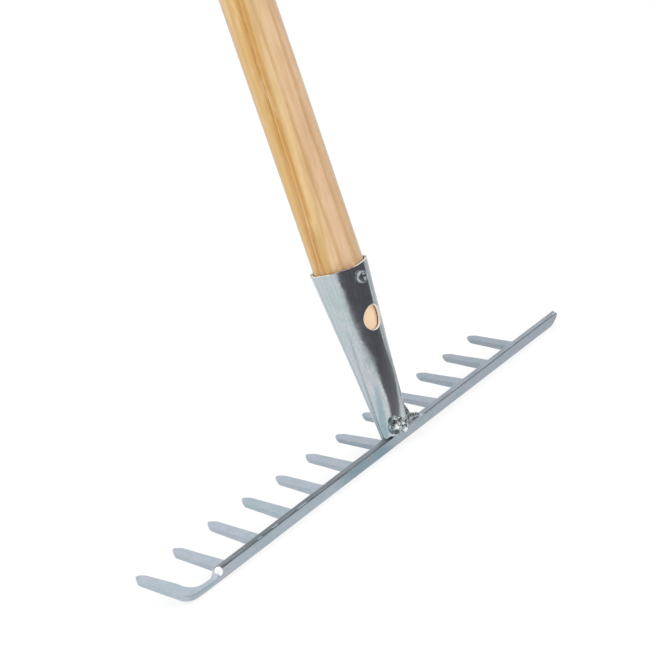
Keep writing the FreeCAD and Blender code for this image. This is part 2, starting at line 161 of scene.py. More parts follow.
def mesh_object(name, verts, faces, material):
    mesh = bpy.data.meshes.new(name)
    mesh.from_pydata([tuple(Vector(p) * MM) for p in verts], [], faces)
    bm = bmesh.new()
    bm.from_mesh(mesh)
    bmesh.ops.remove_doubles(bm, verts=bm.verts, dist=2e-6)
    bmesh.ops.dissolve_degenerate(bm, dist=1e-6, edges=bm.edges)
    bmesh.ops.recalc_face_normals(bm, faces=bm.faces)
    for face in bm.faces:
        face.smooth = True
    bm.to_mesh(mesh)
    bm.free()
    mesh.update()
    ob = bpy.data.objects.new(name, mesh)
    bpy.context.scene.collection.objects.link(ob)
    mesh.materials.append(material)
    return ob


def weight_normals(ob):
    modifier = ob.modifiers.new("weighted", "WEIGHTED_NORMAL")
    modifier.keep_sharp = True
    modifier.weight = 80


def stand_for(ob, node):
    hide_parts(node)
    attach(ob, "root")


def closed_tube(rings):
    """Skin over rings of equal point count, with a fan at each end."""
    count = len(rings[0])
    verts = [p for ring in rings for p in ring]
    faces = []
    for i in range(len(rings) - 1):
        for j in range(count):
            here, beside = i * count + j, i * count + (j + 1) % count
            faces.append((here, beside, beside + count, here + count))
    for i in (0, len(rings) - 1):
        verts.append(sum(rings[i], Vector((0, 0, 0))) / count)
        centre = len(verts) - 1
        for j in range(count):
            faces.append((i * count + j, i * count + (j + 1) % count, centre))
    return verts, faces


def rounded(a_span, b_span, radius, b_mids, crown=0.0):
    """Rounded rectangle outline as (a, b) points, the same number for every size.

    b_mids is the number of points along each side that runs in b; crown bulges the others.
    """
    corner_steps, a_mids = 4, 4
    (a_low, a_high), (b_low, b_high) = a_span, b_span
    radius = max(0.02, min(radius, (a_high - a_low) * 0.48, (b_high - b_low) * 0.48))
    a_in, a_out = a_low + radius, a_high - radius
    b_in, b_out = b_low + radius, b_high - radius
    corners = ((a_out, b_out, 0), (a_in, b_out, 90), (a_in, b_in, 180), (a_out, b_in, 270))

    def on_corner(corner, degrees):
        angle = math.radians(degrees)
        return corner[0] + radius * math.cos(angle), corner[1] + radius * math.sin(angle)

    points = []
    for i, corner in enumerate(corners):
        for step in range(corner_steps + 1):
            points.append(on_corner(corner, corner[2] + 90 * step / corner_steps))
        following = corners[(i + 1) % 4]
        side_start = on_corner(corner, corner[2] + 90)
        side_end = on_corner(following, following[2])
        mids = a_mids if i in (0, 2) else b_mids
        bulge = {0: crown, 2: -crown}.get(i, 0.0)
        for step in range(1, mids + 1):
            share = step / (mids + 1)
            points.append((lerp(side_start[0], side_end[0], share),
                           lerp(side_start[1], side_end[1], share)
                           + bulge * 4 * share * (1 - share)))
    return points


# ------------------------------------------------------------------ shader graph helpers
class Graph:
    """Builds shader nodes; every value may be a number, a colour or another node's output."""

    def __init__(self, tree):
        self.tree = tree
        tree.nodes.clear()

    def put(self, socket, value):
        if isinstance(value, bpy.types.NodeSocket):
            self.tree.links.new(value, socket)
        elif isinstance(value, (tuple, list)) and socket.type == "RGBA" and len(value) == 3:
            socket.default_value = (*value, 1)
        else:
            socket.default_value = value

    def node(self, kind, inputs=None, **settings):
        node = self.tree.nodes.new("ShaderNode" + kind)
        for key, value in settings.items():
            setattr(node, key, value)
        for key, value in (inputs or {}).items():
            self.put(node.inputs[key], value)
        return node

    def math(self, operation, a, b=0.0, c=0.0):
        return self.node("Math", {0: a, 1: b, 2: c}, operation=operation).outputs[0]

    def mul(self, a, b):
        return self.math("MULTIPLY", a, b)

    def add(self, a, b):
        return self.math("ADD", a, b)

    def sub(self, a, b):
        return self.math("SUBTRACT", a, b)

    def max(self, a, b):
        return self.math("MAXIMUM", a, b)

    def hypot(self, a, b):
        return self.math("SQRT", self.add(self.mul(a, a), self.mul(b, b)))

    def dot(self, vector, way):
        node = self.node("VectorMath", {0: vector, 1: tuple(way)}, operation="DOT_PRODUCT")
        return node.outputs["Value"]

    def length(self, vector):
        return self.node("VectorMath", {0: vector}, operation="LENGTH").outputs["Value"]

    def stretch(self, vector, scale, turn=(0, 0, 0), move=(0, 0, 0)):
        inputs = {"Vector": vector, "Scale": scale, "Rotation": turn, "Location": move}
        return self.node("Mapping", inputs).outputs[0]

    def noise(self, vector, scale, detail=3.0, rough=0.55, distort=0.0):
        inputs = {"Vector": vector, "Scale": scale, "Detail": detail, "Roughness": rough,
                  "Distortion": distort}
        return self.node("TexNoise", inputs).outputs["Fac"]

    def step(self, value, over, to=(0.0, 1.0)):
        """Smooth change between the two values of `to` while value crosses `over`."""
        inputs = {"Value": value, "From Min": over[0], "From Max": over[1],
                  "To Min": to[0], "To Max": to[1]}
        node = self.node("MapRange", inputs, interpolation_type="SMOOTHSTEP")
        return node.outputs["Result"]

    def mix(self, share, a, b, mode="MIX"):
        node = self.node("Mix", data_type="RGBA", blend_type=mode, clamp_factor=True)
        for index, value in ((0, share), (6, a), (7, b)):
            self.put(node.inputs[index], value)
        return node.outputs[2]

    def tinted(self, colour, tint):
        return self.mix(1.0, colour, tint, "MULTIPLY")

    def stain(self, base, value, over, strength, colour):
        """Lays colour over base, up to strength, where value has crossed `over`."""
        return self.mix(self.step(value, over, to=(0.0, strength)), base, colour)

    def ramp(self, value, stops):
        node = self.node("ValToRGB")
        elements = node.color_ramp.elements
        while len(elements) < len(stops):
            elements.new(0.5)
        for element, (position, colour) in zip(elements, stops):
            element.position = position
            element.color = (*colour, 1)
        self.put(node.inputs[0], value)
        return node.outputs[0]

    def curve(self, value, stops):
        """A ramp of single numbers: stops are (position, value)."""
        return self.split(self.ramp(value, [(at, (level,) * 3) for at, level in stops]))["X"]

    def split(self, vector):
        return self.node("SeparateXYZ", {0: vector}).outputs

    def join(self, x, y, z):
        return self.node("CombineXYZ", {0: x, 1: y, 2: z}).outputs[0]

    def bump(self, height, distance, strength, normal=None):
        inputs = {"Strength": strength, "Distance": distance, "Height": height}
        if normal is not None:
            inputs["Normal"] = normal
        return self.node("Bump", inputs).outputs[0]


class Material(Graph):
    def __init__(self, name):
        self.material = bpy.data.materials.new(name)
        self.material.use_nodes = True
        super().__init__(self.material.node_tree)
        self.surface = self.node("OutputMaterial").inputs["Surface"]
        self.bsdf = self.node("BsdfPrincipled")
        self.put(self.surface, self.bsdf.outputs[0])
        self.co = self.node("TexCoord").outputs["Object"]

    @cached_property
    def geometry(self):
        return self.node("NewGeometry").outputs

    @property
    def normal(self):
        return self.geometry["Normal"]

    def streaks(self, scale, detail, rough, move=(0, 0, 0)):
        """Noise stretched along the axis with the smallest scale."""
        return self.noise(self.stretch(self.co, scale, move=move), scale=1.0,
                          detail=detail, rough=rough)

    def set(self, **values):
        for key, value in values.items():
            self.put(self.bsdf.inputs[key.replace("_", " ")], value)


# ------------------------------------------------------------------ zinc plate
def zinc(name, line_scale, tint, roughness, wear, shading=None, overlay=None):
    """Bright zinc plate: faint tints, drawing lines, small pits and worn edges.

    line_scale is the scale of the drawing lines, smallest along the stock. shading(m) gives
    a brightness factor; overlay(m, base, rough) gives a new base, metallic and roughness.
    """
    m = Material(name)
    co = m.co
    broad = m.noise(co, scale=55, rough=0.6, distort=0.4)
    cloud = m.noise(m.stretch(co, (1, 1, 1), turn=(0.4, 0.2, 0.9)),
                    scale=140, detail=4, rough=0.6, distort=0.6)
    fine = m.noise(co, scale=900, rough=0.6)
    lines = m.streaks(line_scale, detail=4, rough=0.65)
    # blue-grey passivation, with teal and violet clouds
    base = m.ramp(broad, [(0.30, (0.455, 0.555, 0.585)), (0.46, (0.50, 0.565, 0.625)),
                          (0.56, (0.525, 0.575, 0.645)), (0.70, (0.545, 0.565, 0.615))])
    base = m.stain(base, cloud, over=(0.52, 0.72), strength=0.55, colour=(0.44, 0.575, 0.60))
    base = m.stain(base, cloud, over=(0.44, 0.28), strength=0.5, colour=(0.585, 0.575, 0.635))
    shade = m.mul(m.step(lines, over=(0.3, 0.72), to=(0.93, 1.05)),
                  m.step(fine, over=(0.3, 0.7), to=(0.95, 1.04)))
    shade = m.mul(shade, tint)
    if shading:
        shade = m.mul(shade, shading(m))
    base = m.tinted(base, m.join(shade, shade, shade))
    # worn edges are brighter and smoother
    edge = m.step(m.geometry["Pointiness"], over=(0.52, 0.58), to=(0.0, wear))
    patchy = m.step(m.noise(co, scale=420, detail=2), over=(0.38, 0.62), to=(0.15, 0.8))
    edge = m.mul(edge, patchy)
    base = m.mix(edge, base, (0.66, 0.69, 0.72))
    # sparse dark pits
    cells = m.node("TexVoronoi", {"Vector": co, "Scale": 330})
    pit = m.step(cells.outputs["Distance"], over=(0.10, 0.05))
    pit = m.mul(pit, m.step(m.noise(co, scale=75, detail=1), over=(0.58, 0.64)))
    pit_darkness, pit_depth = 0.55, 0.6
    base = m.mix(m.mul(pit, pit_darkness), base, (0.16, 0.17, 0.19))

    line_roughness, edge_polish = 0.05, 0.05
    rough = m.add(m.step(cloud, over=(0.25, 0.75), to=(roughness - 0.04, roughness + 0.08)),
                  m.mul(lines, line_roughness))
    rough = m.sub(rough, m.mul(edge, edge_polish))
    metallic = 1.0
    if overlay:
        base, metallic, rough = overlay(m, base, rough)

    line_height, fine_height = 0.5, 0.35
    height = m.add(m.mul(lines, line_height), m.mul(fine, fine_height))
    height = m.sub(height, m.mul(pit, pit_depth))
    ripple = m.bump(broad, distance=0.0009, strength=0.12)
    m.set(Base_Color=base, Metallic=metallic, Roughness=rough,
          Normal=m.bump(height, distance=0.00006, strength=0.35, normal=ripple))
    return m.material


def socket_overlay(m, base, rough):
    """Painted dark reflection down one side of the wall; sheared rim with painted highlights,
    and a painted highlight round the side hole's edge.
    """
    co = m.co
    # sheared upper edge: bare metal with brown dirt in places, and painted highlights, near
    # white and nearly non-metallic on the up-facing faces
    top = m.step(m.split(m.normal)["Z"], over=(0.15, 0.40))
    top = m.mul(top, m.step(m.split(co)["Z"], over=((RIM_Z - 1.6) * MM, (RIM_Z - 0.9) * MM)))
    rim_bare_and_highlight = m.ramp(m.noise(co, scale=210, rough=0.6),
                  [(0.36, (0.20, 0.16, 0.12)), (0.46, (0.80, 0.76, 0.68)),
                   (0.60, (1.0, 0.99, 0.97))])
    # painted highlight: narrow near-white ring round the side hole, on the +Y side only
    sideways = m.dot(co, (math.cos(HOLE_TURN), -math.sin(HOLE_TURN), 0))
    upwards = m.sub(m.split(co)["Z"], HOLE_Z * MM)
    painted_hole_highlight = m.step(m.hypot(sideways, upwards),
                       over=((HOLE_R + 0.22) * MM, (HOLE_R + 0.08) * MM))
    painted_hole_highlight = m.mul(painted_hole_highlight, m.step(m.split(co)["Y"], over=(0, 0.002)))
    base = m.tinted(base, (1.075, 1.035, 0.985))
    # painted dark reflection: the stripe lies where the wall faces this way, and gets stronger
    # upwards
    painted_reflection_way = (-0.5844, 0.7460, -0.3193)
    painted_dark_reflection = m.step(m.dot(m.normal, painted_reflection_way), over=(0.866, 0.896))
    painted_dark_reflection = m.mul(painted_dark_reflection, m.step(m.split(co)["Z"], over=(0.020, 0.060), to=(0.6, 1.0)))
    base = m.mix(painted_dark_reflection, base, m.tinted(base, (0.64, 0.65, 0.67)))
    base = m.mix(top, base, rim_bare_and_highlight)
    base = m.mix(painted_hole_highlight, base, (0.92, 0.91, 0.89))
    top = m.max(top, painted_hole_highlight)
    added_roughness = 0.40
    return (base, m.step(top, over=(0.0, 1.0), to=(1.0, 0.10)),
            m.math("MULTIPLY_ADD", top, added_roughness, rough))


def bar_shading(m):
    """Painted shade on the bar: its top is dark, darkest along its back edge; its back is a
    little darker.
    """
    co = m.co
    back = m.dot(co, BACK / MM)                       # in millimetres
    x = m.split(co)["X"]
    upward = m.step(m.dot(m.normal, UP), over=(0.62, 0.9))
    on_bar = m.step(m.math("ABSOLUTE", back), over=(2.7, 2.2))
    on_bar = m.mul(on_bar, m.step(x, over=((BEND_X + 3) * MM, (BEND_X - 1) * MM)))
    top = m.mul(upward, on_bar)
    # painted shade on the top: lighter towards the plain end, streaky along the length
    streak = m.streaks((60, 900, 900), detail=3, rough=0.6)
    level = m.step(x, over=(-0.06, 0.10), to=(0.66, 0.40))
    level = m.add(level, m.step(streak, over=(0.3, 0.7), to=(-0.10, 0.12)))
    # painted shade along the back edge, painted highlight along the front edge
    painted_shade_line = m.step(back, over=(1.15, 1.60))
    level = m.sub(level, m.mul(painted_shade_line, m.step(x, over=(-0.12, 0.12), to=(0.42, 0.24))))
    painted_front_light_gain, painted_light_sliver_gain, painted_light_patch_level, darkest = 0.16, 0.55, 0.85, 0.13
    level = m.add(level, m.mul(m.step(back, over=(-1.0, -1.9)), painted_front_light_gain))
    # scattered painted light slivers just in front of the dark line
    painted_light_sliver = m.step(m.streaks((85, 30, 30), detail=1, rough=0.3, move=(4.0, 2.0, 1.0)),
                    over=(0.63, 0.66))
    painted_light_sliver = m.mul(painted_light_sliver, m.mul(m.step(back, over=(0.5, 0.9)),
                                 m.step(back, over=(1.6, 1.3))))
    level = m.add(level, m.mul(painted_light_sliver, painted_light_sliver_gain))
    # painted light patch under the matte area beside the weld
    painted_light_patch = m.mul(m.step(x, over=(-0.025, -0.022)), m.step(x, over=(-0.002, -0.006)))
    level = m.max(level, m.mul(painted_light_patch, painted_light_patch_level))
    level = m.max(level, darkest)
    # painted shade: the back face is a little darker, most towards -X
    on_back = m.step(m.dot(m.normal, BACK), over=(0.7, 0.95))
    back_level = m.step(x, over=(-0.17, 0.17), to=(0.70, 0.86))
    rest = m.mix(on_back, (1, 1, 1), m.join(back_level, back_level, back_level))
    return m.split(m.mix(top, rest, m.join(level, level, level)))["X"]


def bar_overlay(m, base, rough):
    """Matte lavender areas: on the bar's top beside the weld, standing in for reflected light
    there, and on the slope at its bent end.
    """
    back = m.dot(m.co, BACK / MM)
    x = m.split(m.co)["X"]
    upward = m.step(m.dot(m.normal, UP), over=(0.5, 0.7))
    matte_patch = m.mul(m.step(x, over=(-0.025, -0.021)), m.step(x, over=(-0.003, -0.006)))
    matte_patch = m.mul(matte_patch, m.mul(upward, m.step(m.math("ABSOLUTE", back), over=(2.6, 2.2))))
    slope = m.mul(m.step(x, over=((BEND_X - 0.5) * MM, (BEND_X + 0.5) * MM)),
                  m.step(x, over=((FLAT_X + 2) * MM, FLAT_X * MM)))
    slope = m.mul(slope, m.step(m.split(m.normal)["X"], over=(0.15, 0.35)))
    slope_strength = 0.7
    matte_patch = m.max(matte_patch, m.mul(slope, slope_strength))
    return (m.mix(matte_patch, base, (0.46, 0.48, 0.55)),
            m.step(matte_patch, over=(0.0, 1.0), to=(1.0, 0.15)), rough)


def tine_shading(m):
    """Painted shade: sides are darker than the broad face. The tines darken away from the bent
    end.
    """
    side = m.step(m.math("ABSOLUTE", m.split(m.normal)["X"]), over=(0.55, 0.9), to=(1.0, 0.93))
    return m.mul(side, m.step(m.split(m.co)["X"], over=(-0.13, 0.13), to=(0.76, 1.0)))


# ------------------------------------------------------------------ weld, screw, wood
# painted highlights on the weld: centre and half sizes, mm
WELD_PAINTED_HIGHLIGHTS = [
    ((5.2, 6.6, 12.4), (2.3, 4.0, 3.5)), ((-0.6, 7.2, 8.0), (1.7, 4.0, 2.9)),
    ((6.4, 5.8, 15.2), (1.3, 3.0, 1.2)), ((-4.4, 5.2, 10.4), (1.1, 3.0, 0.9)),
]


def finish_weld(m, lumps, grain, base, metallic, roughness):
    m.set(Base_Color=base, Metallic=metallic,
          Roughness=m.step(grain, over=(0.3, 0.7), to=roughness),
          Normal=m.bump(grain, distance=0.00003, strength=0.4,
                        normal=m.bump(lumps, distance=0.00014, strength=0.4)))
    return m.material


def weld_noises(m):
    return (m.noise(m.co, scale=270, detail=2, rough=0.45, distort=0.4),
            m.noise(m.co, scale=1600, rough=0.6))


def weld_material():
    m = Material("weld_metal")
    lumps, grain = weld_noises(m)
    # painted highlight colour: near white, with dark gaps between the lumps
    painted_highlight_colour = m.ramp(lumps, [(0.37, (0.13, 0.15, 0.15)), (0.44, (0.40, 0.44, 0.44)),
                            (0.50, (0.93, 0.94, 0.94)), (0.66, (1.0, 1.0, 1.0))])
    # outside the painted highlights: painted dark reflections and mid grey
    between_highlights = m.ramp(lumps, [(0.40, (0.14, 0.16, 0.17)), (0.50, (0.34, 0.39, 0.41)),
                            (0.60, (0.56, 0.59, 0.60))])
    raggedness = 0.9
    painted_highlights = None
    for centre, half in WELD_PAINTED_HIGHLIGHTS:
        local = m.stretch(m.co, [1 / MM / h for h in half],
                          move=[-c / h for c, h in zip(centre, half)])
        distance = m.add(m.length(local), m.mul(m.sub(lumps, 0.5), raggedness))
        painted_light_patch = m.step(distance, over=(1.12, 0.88))
        painted_highlights = painted_light_patch if painted_highlights is None else m.max(painted_highlights, painted_light_patch)
    base = m.mix(painted_highlights, between_highlights, painted_highlight_colour)
    # the run along the bar is darker, in dark grey, teal and straw colours
    run_colour = m.ramp(m.noise(m.co, scale=260, detail=2, rough=0.5, distort=0.3),
                  [(0.40, (0.20, 0.19, 0.20)), (0.50, (0.30, 0.38, 0.40)),
                   (0.62, (0.55, 0.54, 0.50))])
    base = m.stain(base, m.split(m.co)["X"], over=(-2.4 * MM, -4.6 * MM), strength=0.80,
                   colour=run_colour)
    base = m.stain(base, grain, over=(0.5, 0.72), strength=0.45, colour=(0.30, 0.38, 0.40))
    return finish_weld(m, lumps, grain, base, metallic=1.0, roughness=(0.10, 0.24))


# the end bead is painted near white and mostly non-metallic: a painted highlight
def bead_highlight_material():
    m = Material("bead_painted_highlight")
    lumps, grain = weld_noises(m)
    base = m.ramp(lumps, [(0.25, (0.80, 0.82, 0.84)), (0.5, (0.97, 0.97, 0.98)),
                          (0.75, (0.93, 0.93, 0.95))])
    return finish_weld(m, lumps, grain, base, metallic=0.30, roughness=(0.34, 0.46))


def screw_material():
    m = Material("screw_steel")
    turned = m.noise(m.co, scale=700, rough=0.6)
    fine = m.noise(m.co, scale=3200, detail=2, rough=0.5)
    outside_recess = m.step(m.geometry["Pointiness"], over=(0.44, 0.49))
    base = m.ramp(turned, [(0.3, (0.26, 0.29, 0.32)), (0.7, (0.62, 0.65, 0.68))])
    # painted shade: the recess is near black
    base = m.mix(outside_recess, (0.10, 0.10, 0.11), base)   # dark in the recess
    m.set(Base_Color=base, Metallic=1.0,
          Roughness=m.step(turned, over=(0.3, 0.7), to=(0.14, 0.27)),
          Normal=m.bump(fine, distance=0.00004, strength=0.4))
    return m.material


# colour across the shaft: place in mm within one repeat, colour
HEARTWOOD_REPEAT = 60.0
HEARTWOOD = [
    (0.0, (0.60, 0.43, 0.25)), (8.0, (0.70, 0.47, 0.27)), (14.5, (0.53, 0.375, 0.20)),
    (17.0, (0.60, 0.385, 0.155)), (20.5, (0.62, 0.395, 0.145)), (22.4, (0.57, 0.33, 0.10)),
    (23.2, (0.46, 0.225, 0.04)), (24.0, (0.43, 0.205, 0.032)), (24.5, (0.66, 0.42, 0.15)),
    (25.0, (0.50, 0.255, 0.05)), (26.0, (0.54, 0.29, 0.07)), (27.2, (0.69, 0.465, 0.20)),
    (29.0, (0.71, 0.495, 0.245)), (31.5, (0.72, 0.515, 0.285)), (34.0, (0.715, 0.485, 0.29)),
    (38.0, (0.72, 0.48, 0.315)), (42.0, (0.68, 0.46, 0.29)), (45.0, (0.58, 0.41, 0.25)),
    (52.0, (0.68, 0.455, 0.22)), (60.0, (0.60, 0.43, 0.25)),
]
# growth rings: place within one ring, share of dark latewood
LATEWOOD = [(0.0, 0.30), (0.16, 0.06), (0.42, 0.0), (0.62, 0.28), (0.80, 0.95), (0.90, 1.0),
            (1.0, 0.30)]
FINE_LATEWOOD = [(0.0, 0.0), (0.6, 0.15), (0.85, 1.0), (1.0, 0.0)]


def growth_rings(m, x, y, z, waves):
    """Broad and fine latewood shares, for rings round a trunk centre outside the shaft."""
    trunk_way = math.radians(18)                      # from +Y towards +X
    grain_slope, trunk_offset = 0.046, -0.0955        # the centre drifts along the shaft
    drift_along, drift_sideways = 0.010, 0.012
    broad_pitch, broad_waves = 0.0041, 0.34
    fine_pitch, fine_waves = 0.00155, 0.9
    drift = m.sub(m.streaks((2.0, 2.0, 3.2), detail=2, rough=0.5), 0.5)
    side_drift = m.sub(m.streaks((2.0, 2.0, 5.0), detail=2, rough=0.5, move=(3.1, 1.7, 0.4)),
                       0.5)
    away = m.add(m.math("MULTIPLY_ADD", z, grain_slope, trunk_offset),
                 m.mul(drift, drift_along))
    centre_x = m.add(m.mul(away, math.sin(trunk_way)), m.mul(side_drift, drift_sideways))
    centre_y = m.mul(away, math.cos(trunk_way))
    radius = m.hypot(m.sub(x, centre_x), m.sub(y, centre_y))

    def ring_place(pitch, waviness):
        return m.math("FRACT", m.add(m.mul(radius, 1 / pitch), m.mul(waves, waviness)))

    return (m.curve(ring_place(broad_pitch, broad_waves), LATEWOOD),
            m.curve(ring_place(fine_pitch, fine_waves), FINE_LATEWOOD))


def wood_material():
    """Turned softwood: growth rings along the grain, fibres, pores and a satin finish."""
    m = Material("turned_softwood")
    x, y, z = m.split(m.co)
    waves = m.streaks((190, 190, 9), detail=3, rough=0.55)
    late, fine = growth_rings(m, x, y, z, waves)
    sun = m.streaks((60, 60, 4), detail=3, rough=0.5)
    fibre = m.streaks((1500, 1500, 30), detail=4, rough=0.7)
    band = m.streaks((420, 420, 9), detail=3, rough=0.6)
    pore = m.streaks((2100, 2100, 70), detail=2, rough=0.5, move=(7, 3, 1))

    # heartwood streaks cross the shaft slowly and come back every HEARTWOOD_REPEAT
    across_x, across_y = -0.617, 0.787
    sway_width, streak_slope, streak_start = 0.0050, -0.04, 0.0074 + 0.030
    across = m.add(m.mul(x, across_x), m.mul(y, across_y))
    sway = m.mul(m.sub(m.streaks((30, 30, 11), detail=2, rough=0.5), 0.5), sway_width)
    crossing = m.add(m.math("MULTIPLY_ADD", z, streak_slope, streak_start),
                     m.add(across, sway))
    place = m.mul(m.math("FRACT", m.mul(crossing, 1 / (HEARTWOOD_REPEAT * MM))),
                  HEARTWOOD_REPEAT)
    light = m.ramp(m.mul(place, 1 / HEARTWOOD_REPEAT),
                   [(at / HEARTWOOD_REPEAT, colour) for at, colour in HEARTWOOD])
    # two soft brown bands that stay put
    band_waves = 0.0026
    calm = m.add(across, m.mul(m.sub(waves, 0.5), band_waves))
    soft = m.max(m.mul(m.step(calm, over=(0.0010, 0.0025)), m.step(calm, over=(0.0042, 0.0027))),
                 m.mul(m.step(calm, over=(0.0087, 0.0099)), m.step(calm, over=(0.0119, 0.0103))))
    light = m.mix(m.mul(soft, m.step(sun, over=(0.35, 0.60), to=(0.30, 0.80))),
                  light, (0.56, 0.335, 0.155))
    # painted shade: greyer at both sides of the shaft as seen from the camera
    painted_edge_shade_strength = 0.6
    painted_edge_shade = m.max(m.step(across, over=(-0.0120, -0.0142)), m.step(across, over=(0.0112, 0.0145)))
    light = m.mix(m.mul(painted_edge_shade, painted_edge_shade_strength), light, (0.50, 0.40, 0.30))
    mottle = m.streaks((260, 260, 60), detail=3, rough=0.6)
    light = m.stain(light, mottle, over=(0.50, 0.68), strength=0.35, colour=(0.60, 0.375, 0.185))
    light = m.stain(light, mottle, over=(0.48, 0.32), strength=0.30, colour=(0.78, 0.60, 0.40))
    light = m.tinted(light, (0.955, 0.945, 0.90))
    # deeper gold strip just above the socket
    gold = m.mul(m.step(across, over=(-0.0090, -0.0068)),
                 m.step(across, over=(-0.0018, -0.0036)))
    gold = m.mul(gold, m.step(z, over=(0.134, 0.122)))
    light = m.mix(gold, light, m.tinted(light, (0.84, 0.79, 0.64)))

    dark_share, fine_strength = 0.50, 0.16
    dark = m.mix(dark_share, light, (0.40, 0.19, 0.06))
    base = m.mix(m.mul(late, m.step(sun, over=(0.3, 0.7), to=(0.62, 0.30))), light, dark)
    base = m.mix(m.mul(fine, fine_strength), base, dark)
    # darker and paler bands and fibres: noise, span, strength, colour
    for value, over, strength, colour in (
            (band, (0.50, 0.75), 0.38, (0.53, 0.30, 0.095)),
            (band, (0.47, 0.25), 0.35, (0.74, 0.565, 0.355)),
            (fibre, (0.50, 0.78), 0.30, (0.46, 0.265, 0.10)),
            (fibre, (0.46, 0.22), 0.28, (0.78, 0.61, 0.40))):
        base = m.stain(base, value, over, strength, colour)
    pores = m.step(pore, over=(0.67, 0.75), to=(0.0, 0.38))
    base = m.mix(pores, base, (0.33, 0.17, 0.07))

    # darker brown patches just above the socket, and painted light on the wood inside it
    near = m.mul(m.step(z, over=((RIM_Z + 6) * MM, (RIM_Z + 0.2) * MM), to=(0.0, 0.5)),
                 m.step(z, over=((RIM_Z - 2) * MM, (RIM_Z - 0.5) * MM)))
    dark_patches = m.step(m.noise(m.co, scale=160), over=(0.35, 0.65))
    base = m.mix(m.mul(near, dark_patches), base, (0.42, 0.25, 0.11))
    # painted light: the wood inside the socket, seen through the side hole, is lifted to a pale
    # colour against its shade
    inside = m.step(z, over=((RIM_Z - 3) * MM, (RIM_Z - 8) * MM))
    inside_late_share, painted_light_strength = 0.70, 0.85
    painted_light_inside = m.mix(m.mul(late, inside_late_share), (0.86, 0.64, 0.44), (0.78, 0.47, 0.24))
    base = m.mix(m.mul(inside, painted_light_strength), base, painted_light_inside)

    late_polish, fibre_height, late_height = -0.05, 0.6, 0.5
    rough = m.add(m.step(fibre, over=(0.3, 0.7), to=(0.36, 0.50)), m.mul(late, late_polish))
    height = m.add(m.mul(fibre, fibre_height), m.mul(late, late_height))
    height = m.sub(height, pores)
    m.set(Base_Color=base, Roughness=rough, Coat_Weight=0.12, Coat_Roughness=0.28,
          Specular_IOR_Level=0.42, Normal=m.bump(height, distance=0.00009, strength=0.5))
    return m.material


zinc_bar = zinc("zinc_bar", line_scale=(45, 1500, 1500), tint=1.0, roughness=0.27, wear=0.25,
                shading=bar_shading, overlay=bar_overlay)
zinc_tine = zinc("zinc_tine", line_scale=(1500, 60, 900), tint=1.0, roughness=0.38, wear=0.15,
                 shading=tine_shading)
zinc_socket = zinc("zinc_socket", line_scale=(900, 900, 28), tint=1.05, roughness=0.13,
                   wear=0.8, overlay=socket_overlay)
weld_metal = weld_material()
bead_painted_highlight = bead_highlight_material()
screw_steel = screw_material()
softwood = wood_material()


# ------------------------------------------------------------------ tines
# stations along the tip, as shares of its length
TIP_STATIONS = [0, .08, .17, .26, .35, .44, .53, .61, .69, .77, .84, .90, .95, .985, 1.0]


def tine_stations(start, reach):
    """Distances in front of the bar's middle at which a tine has a ring."""
    body = reach - TIP_LONG - start
    stations = [start + body * i / 12 for i in range(12)]
    return stations + [reach - TIP_LONG + TIP_LONG * share for share in TIP_STATIONS]


def tip_half_width(left, length, end_half, half, straightness):
    """Half width on one side of the point, with `left` still to go to the end."""
    if left >= length:
        return half
    share = max(0.0, left / length)
    curved = math.sin(share * math.pi / 2)
    return lerp(end_half, half, straightness * share + (1 - straightness) * curved)


def blade_section(y, start, reach):
    """Share of the length, half widths on the +X and -X sides, half thickness."""
    share = (y - start) / (reach - start)
    body_share = (y - start) / (reach - TIP_LONG - start)
    half_width = lerp(ROOT_W / 2, TIP_W / 2, min(1, body_share))
    half_thick = lerp(ROOT_T / 2, TIP_T / 2, share)
    left = reach - y
    plus = tip_half_width(left, TIP_LONG, -TIP_SHIFT + TIP_FLAT, half_width,
                          straightness=0.72)
    minus = tip_half_width(left, TIP_SHORT, TIP_SHIFT + TIP_FLAT, half_width,
                           straightness=0.7)
    if left < TIP_THINNING:
        thinning = math.sin(max(0.0, left / TIP_THINNING) * math.pi / 2)
        half_thick *= lerp(0.52, 1.0, thinning)
    return share, plus, minus, half_thick


def build_tine(node):
    points = head_coords(node)
    middle_x = (min(p[0] for p in points) + max(p[0] for p in points)) / 2
    reach = -min(p[1] for p in points)
    start = -max(p[1] for p in points)
    end_heights = [p[2] for p in points if p[1] < -reach + 0.05]
    rise = (min(end_heights) + max(end_heights)) / 2 - BLADE_MID
    seed = middle_x * 0.01

    def place(aside, y, z):
        point = head(middle_x - aside, -y, z)
        bend = Vector((wobble(point, scale=0.09, amount=0.10, seed=seed), 0,
                       wobble(point, scale=0.12, amount=0.07, seed=seed + 5)))
        return point + bend * smoothstep(start, start + 6, y)

    rings = []
    for y in tine_stations(start, reach):
        share, plus, minus, half_thick = blade_section(y, start, reach)
        flare = ROOT_FLARE * max(0.0, 1 - (y - start) / 2.2) ** 2
        plus += flare
        minus += flare
        half_thick += flare * 0.35
        z = BLADE_MID + rise * share
        # the outline runs towards -X and upwards
        outline = rounded((-plus, minus), (-half_thick, half_thick),
                          min(BLADE_EDGE_R, half_thick * 0.55), b_mids=2, crown=0.05)
        rings.append([place(a, y, z + b) for a, b in outline])
    verts, faces = closed_tube(rings)
    ob = mesh_object(node + "_blade", verts, faces, zinc_tine)
    weight_normals(ob)
    stand_for(ob, node)


for number in range(2, 13):
    build_tine("tine_%02d" % number)


# ------------------------------------------------------------------ bar with its end tine
# plain end: its lower corner is rounded away and its back corner slanted
END_STATIONS = [0, 0.12, 0.3, 0.6, 1.0, 1.45, 1.9, 2.3, 2.8, 3.6, 4.5, 5.5, 6.7, 8.0, 9.2,
                10.2, 11.5]                           # mm from the plain end
END_ROUNDING = 10.2                                   # length of the rounded lower corner
END_SLANT, END_BACK = 1.9, -1.5                       # length of the slant, back at the end


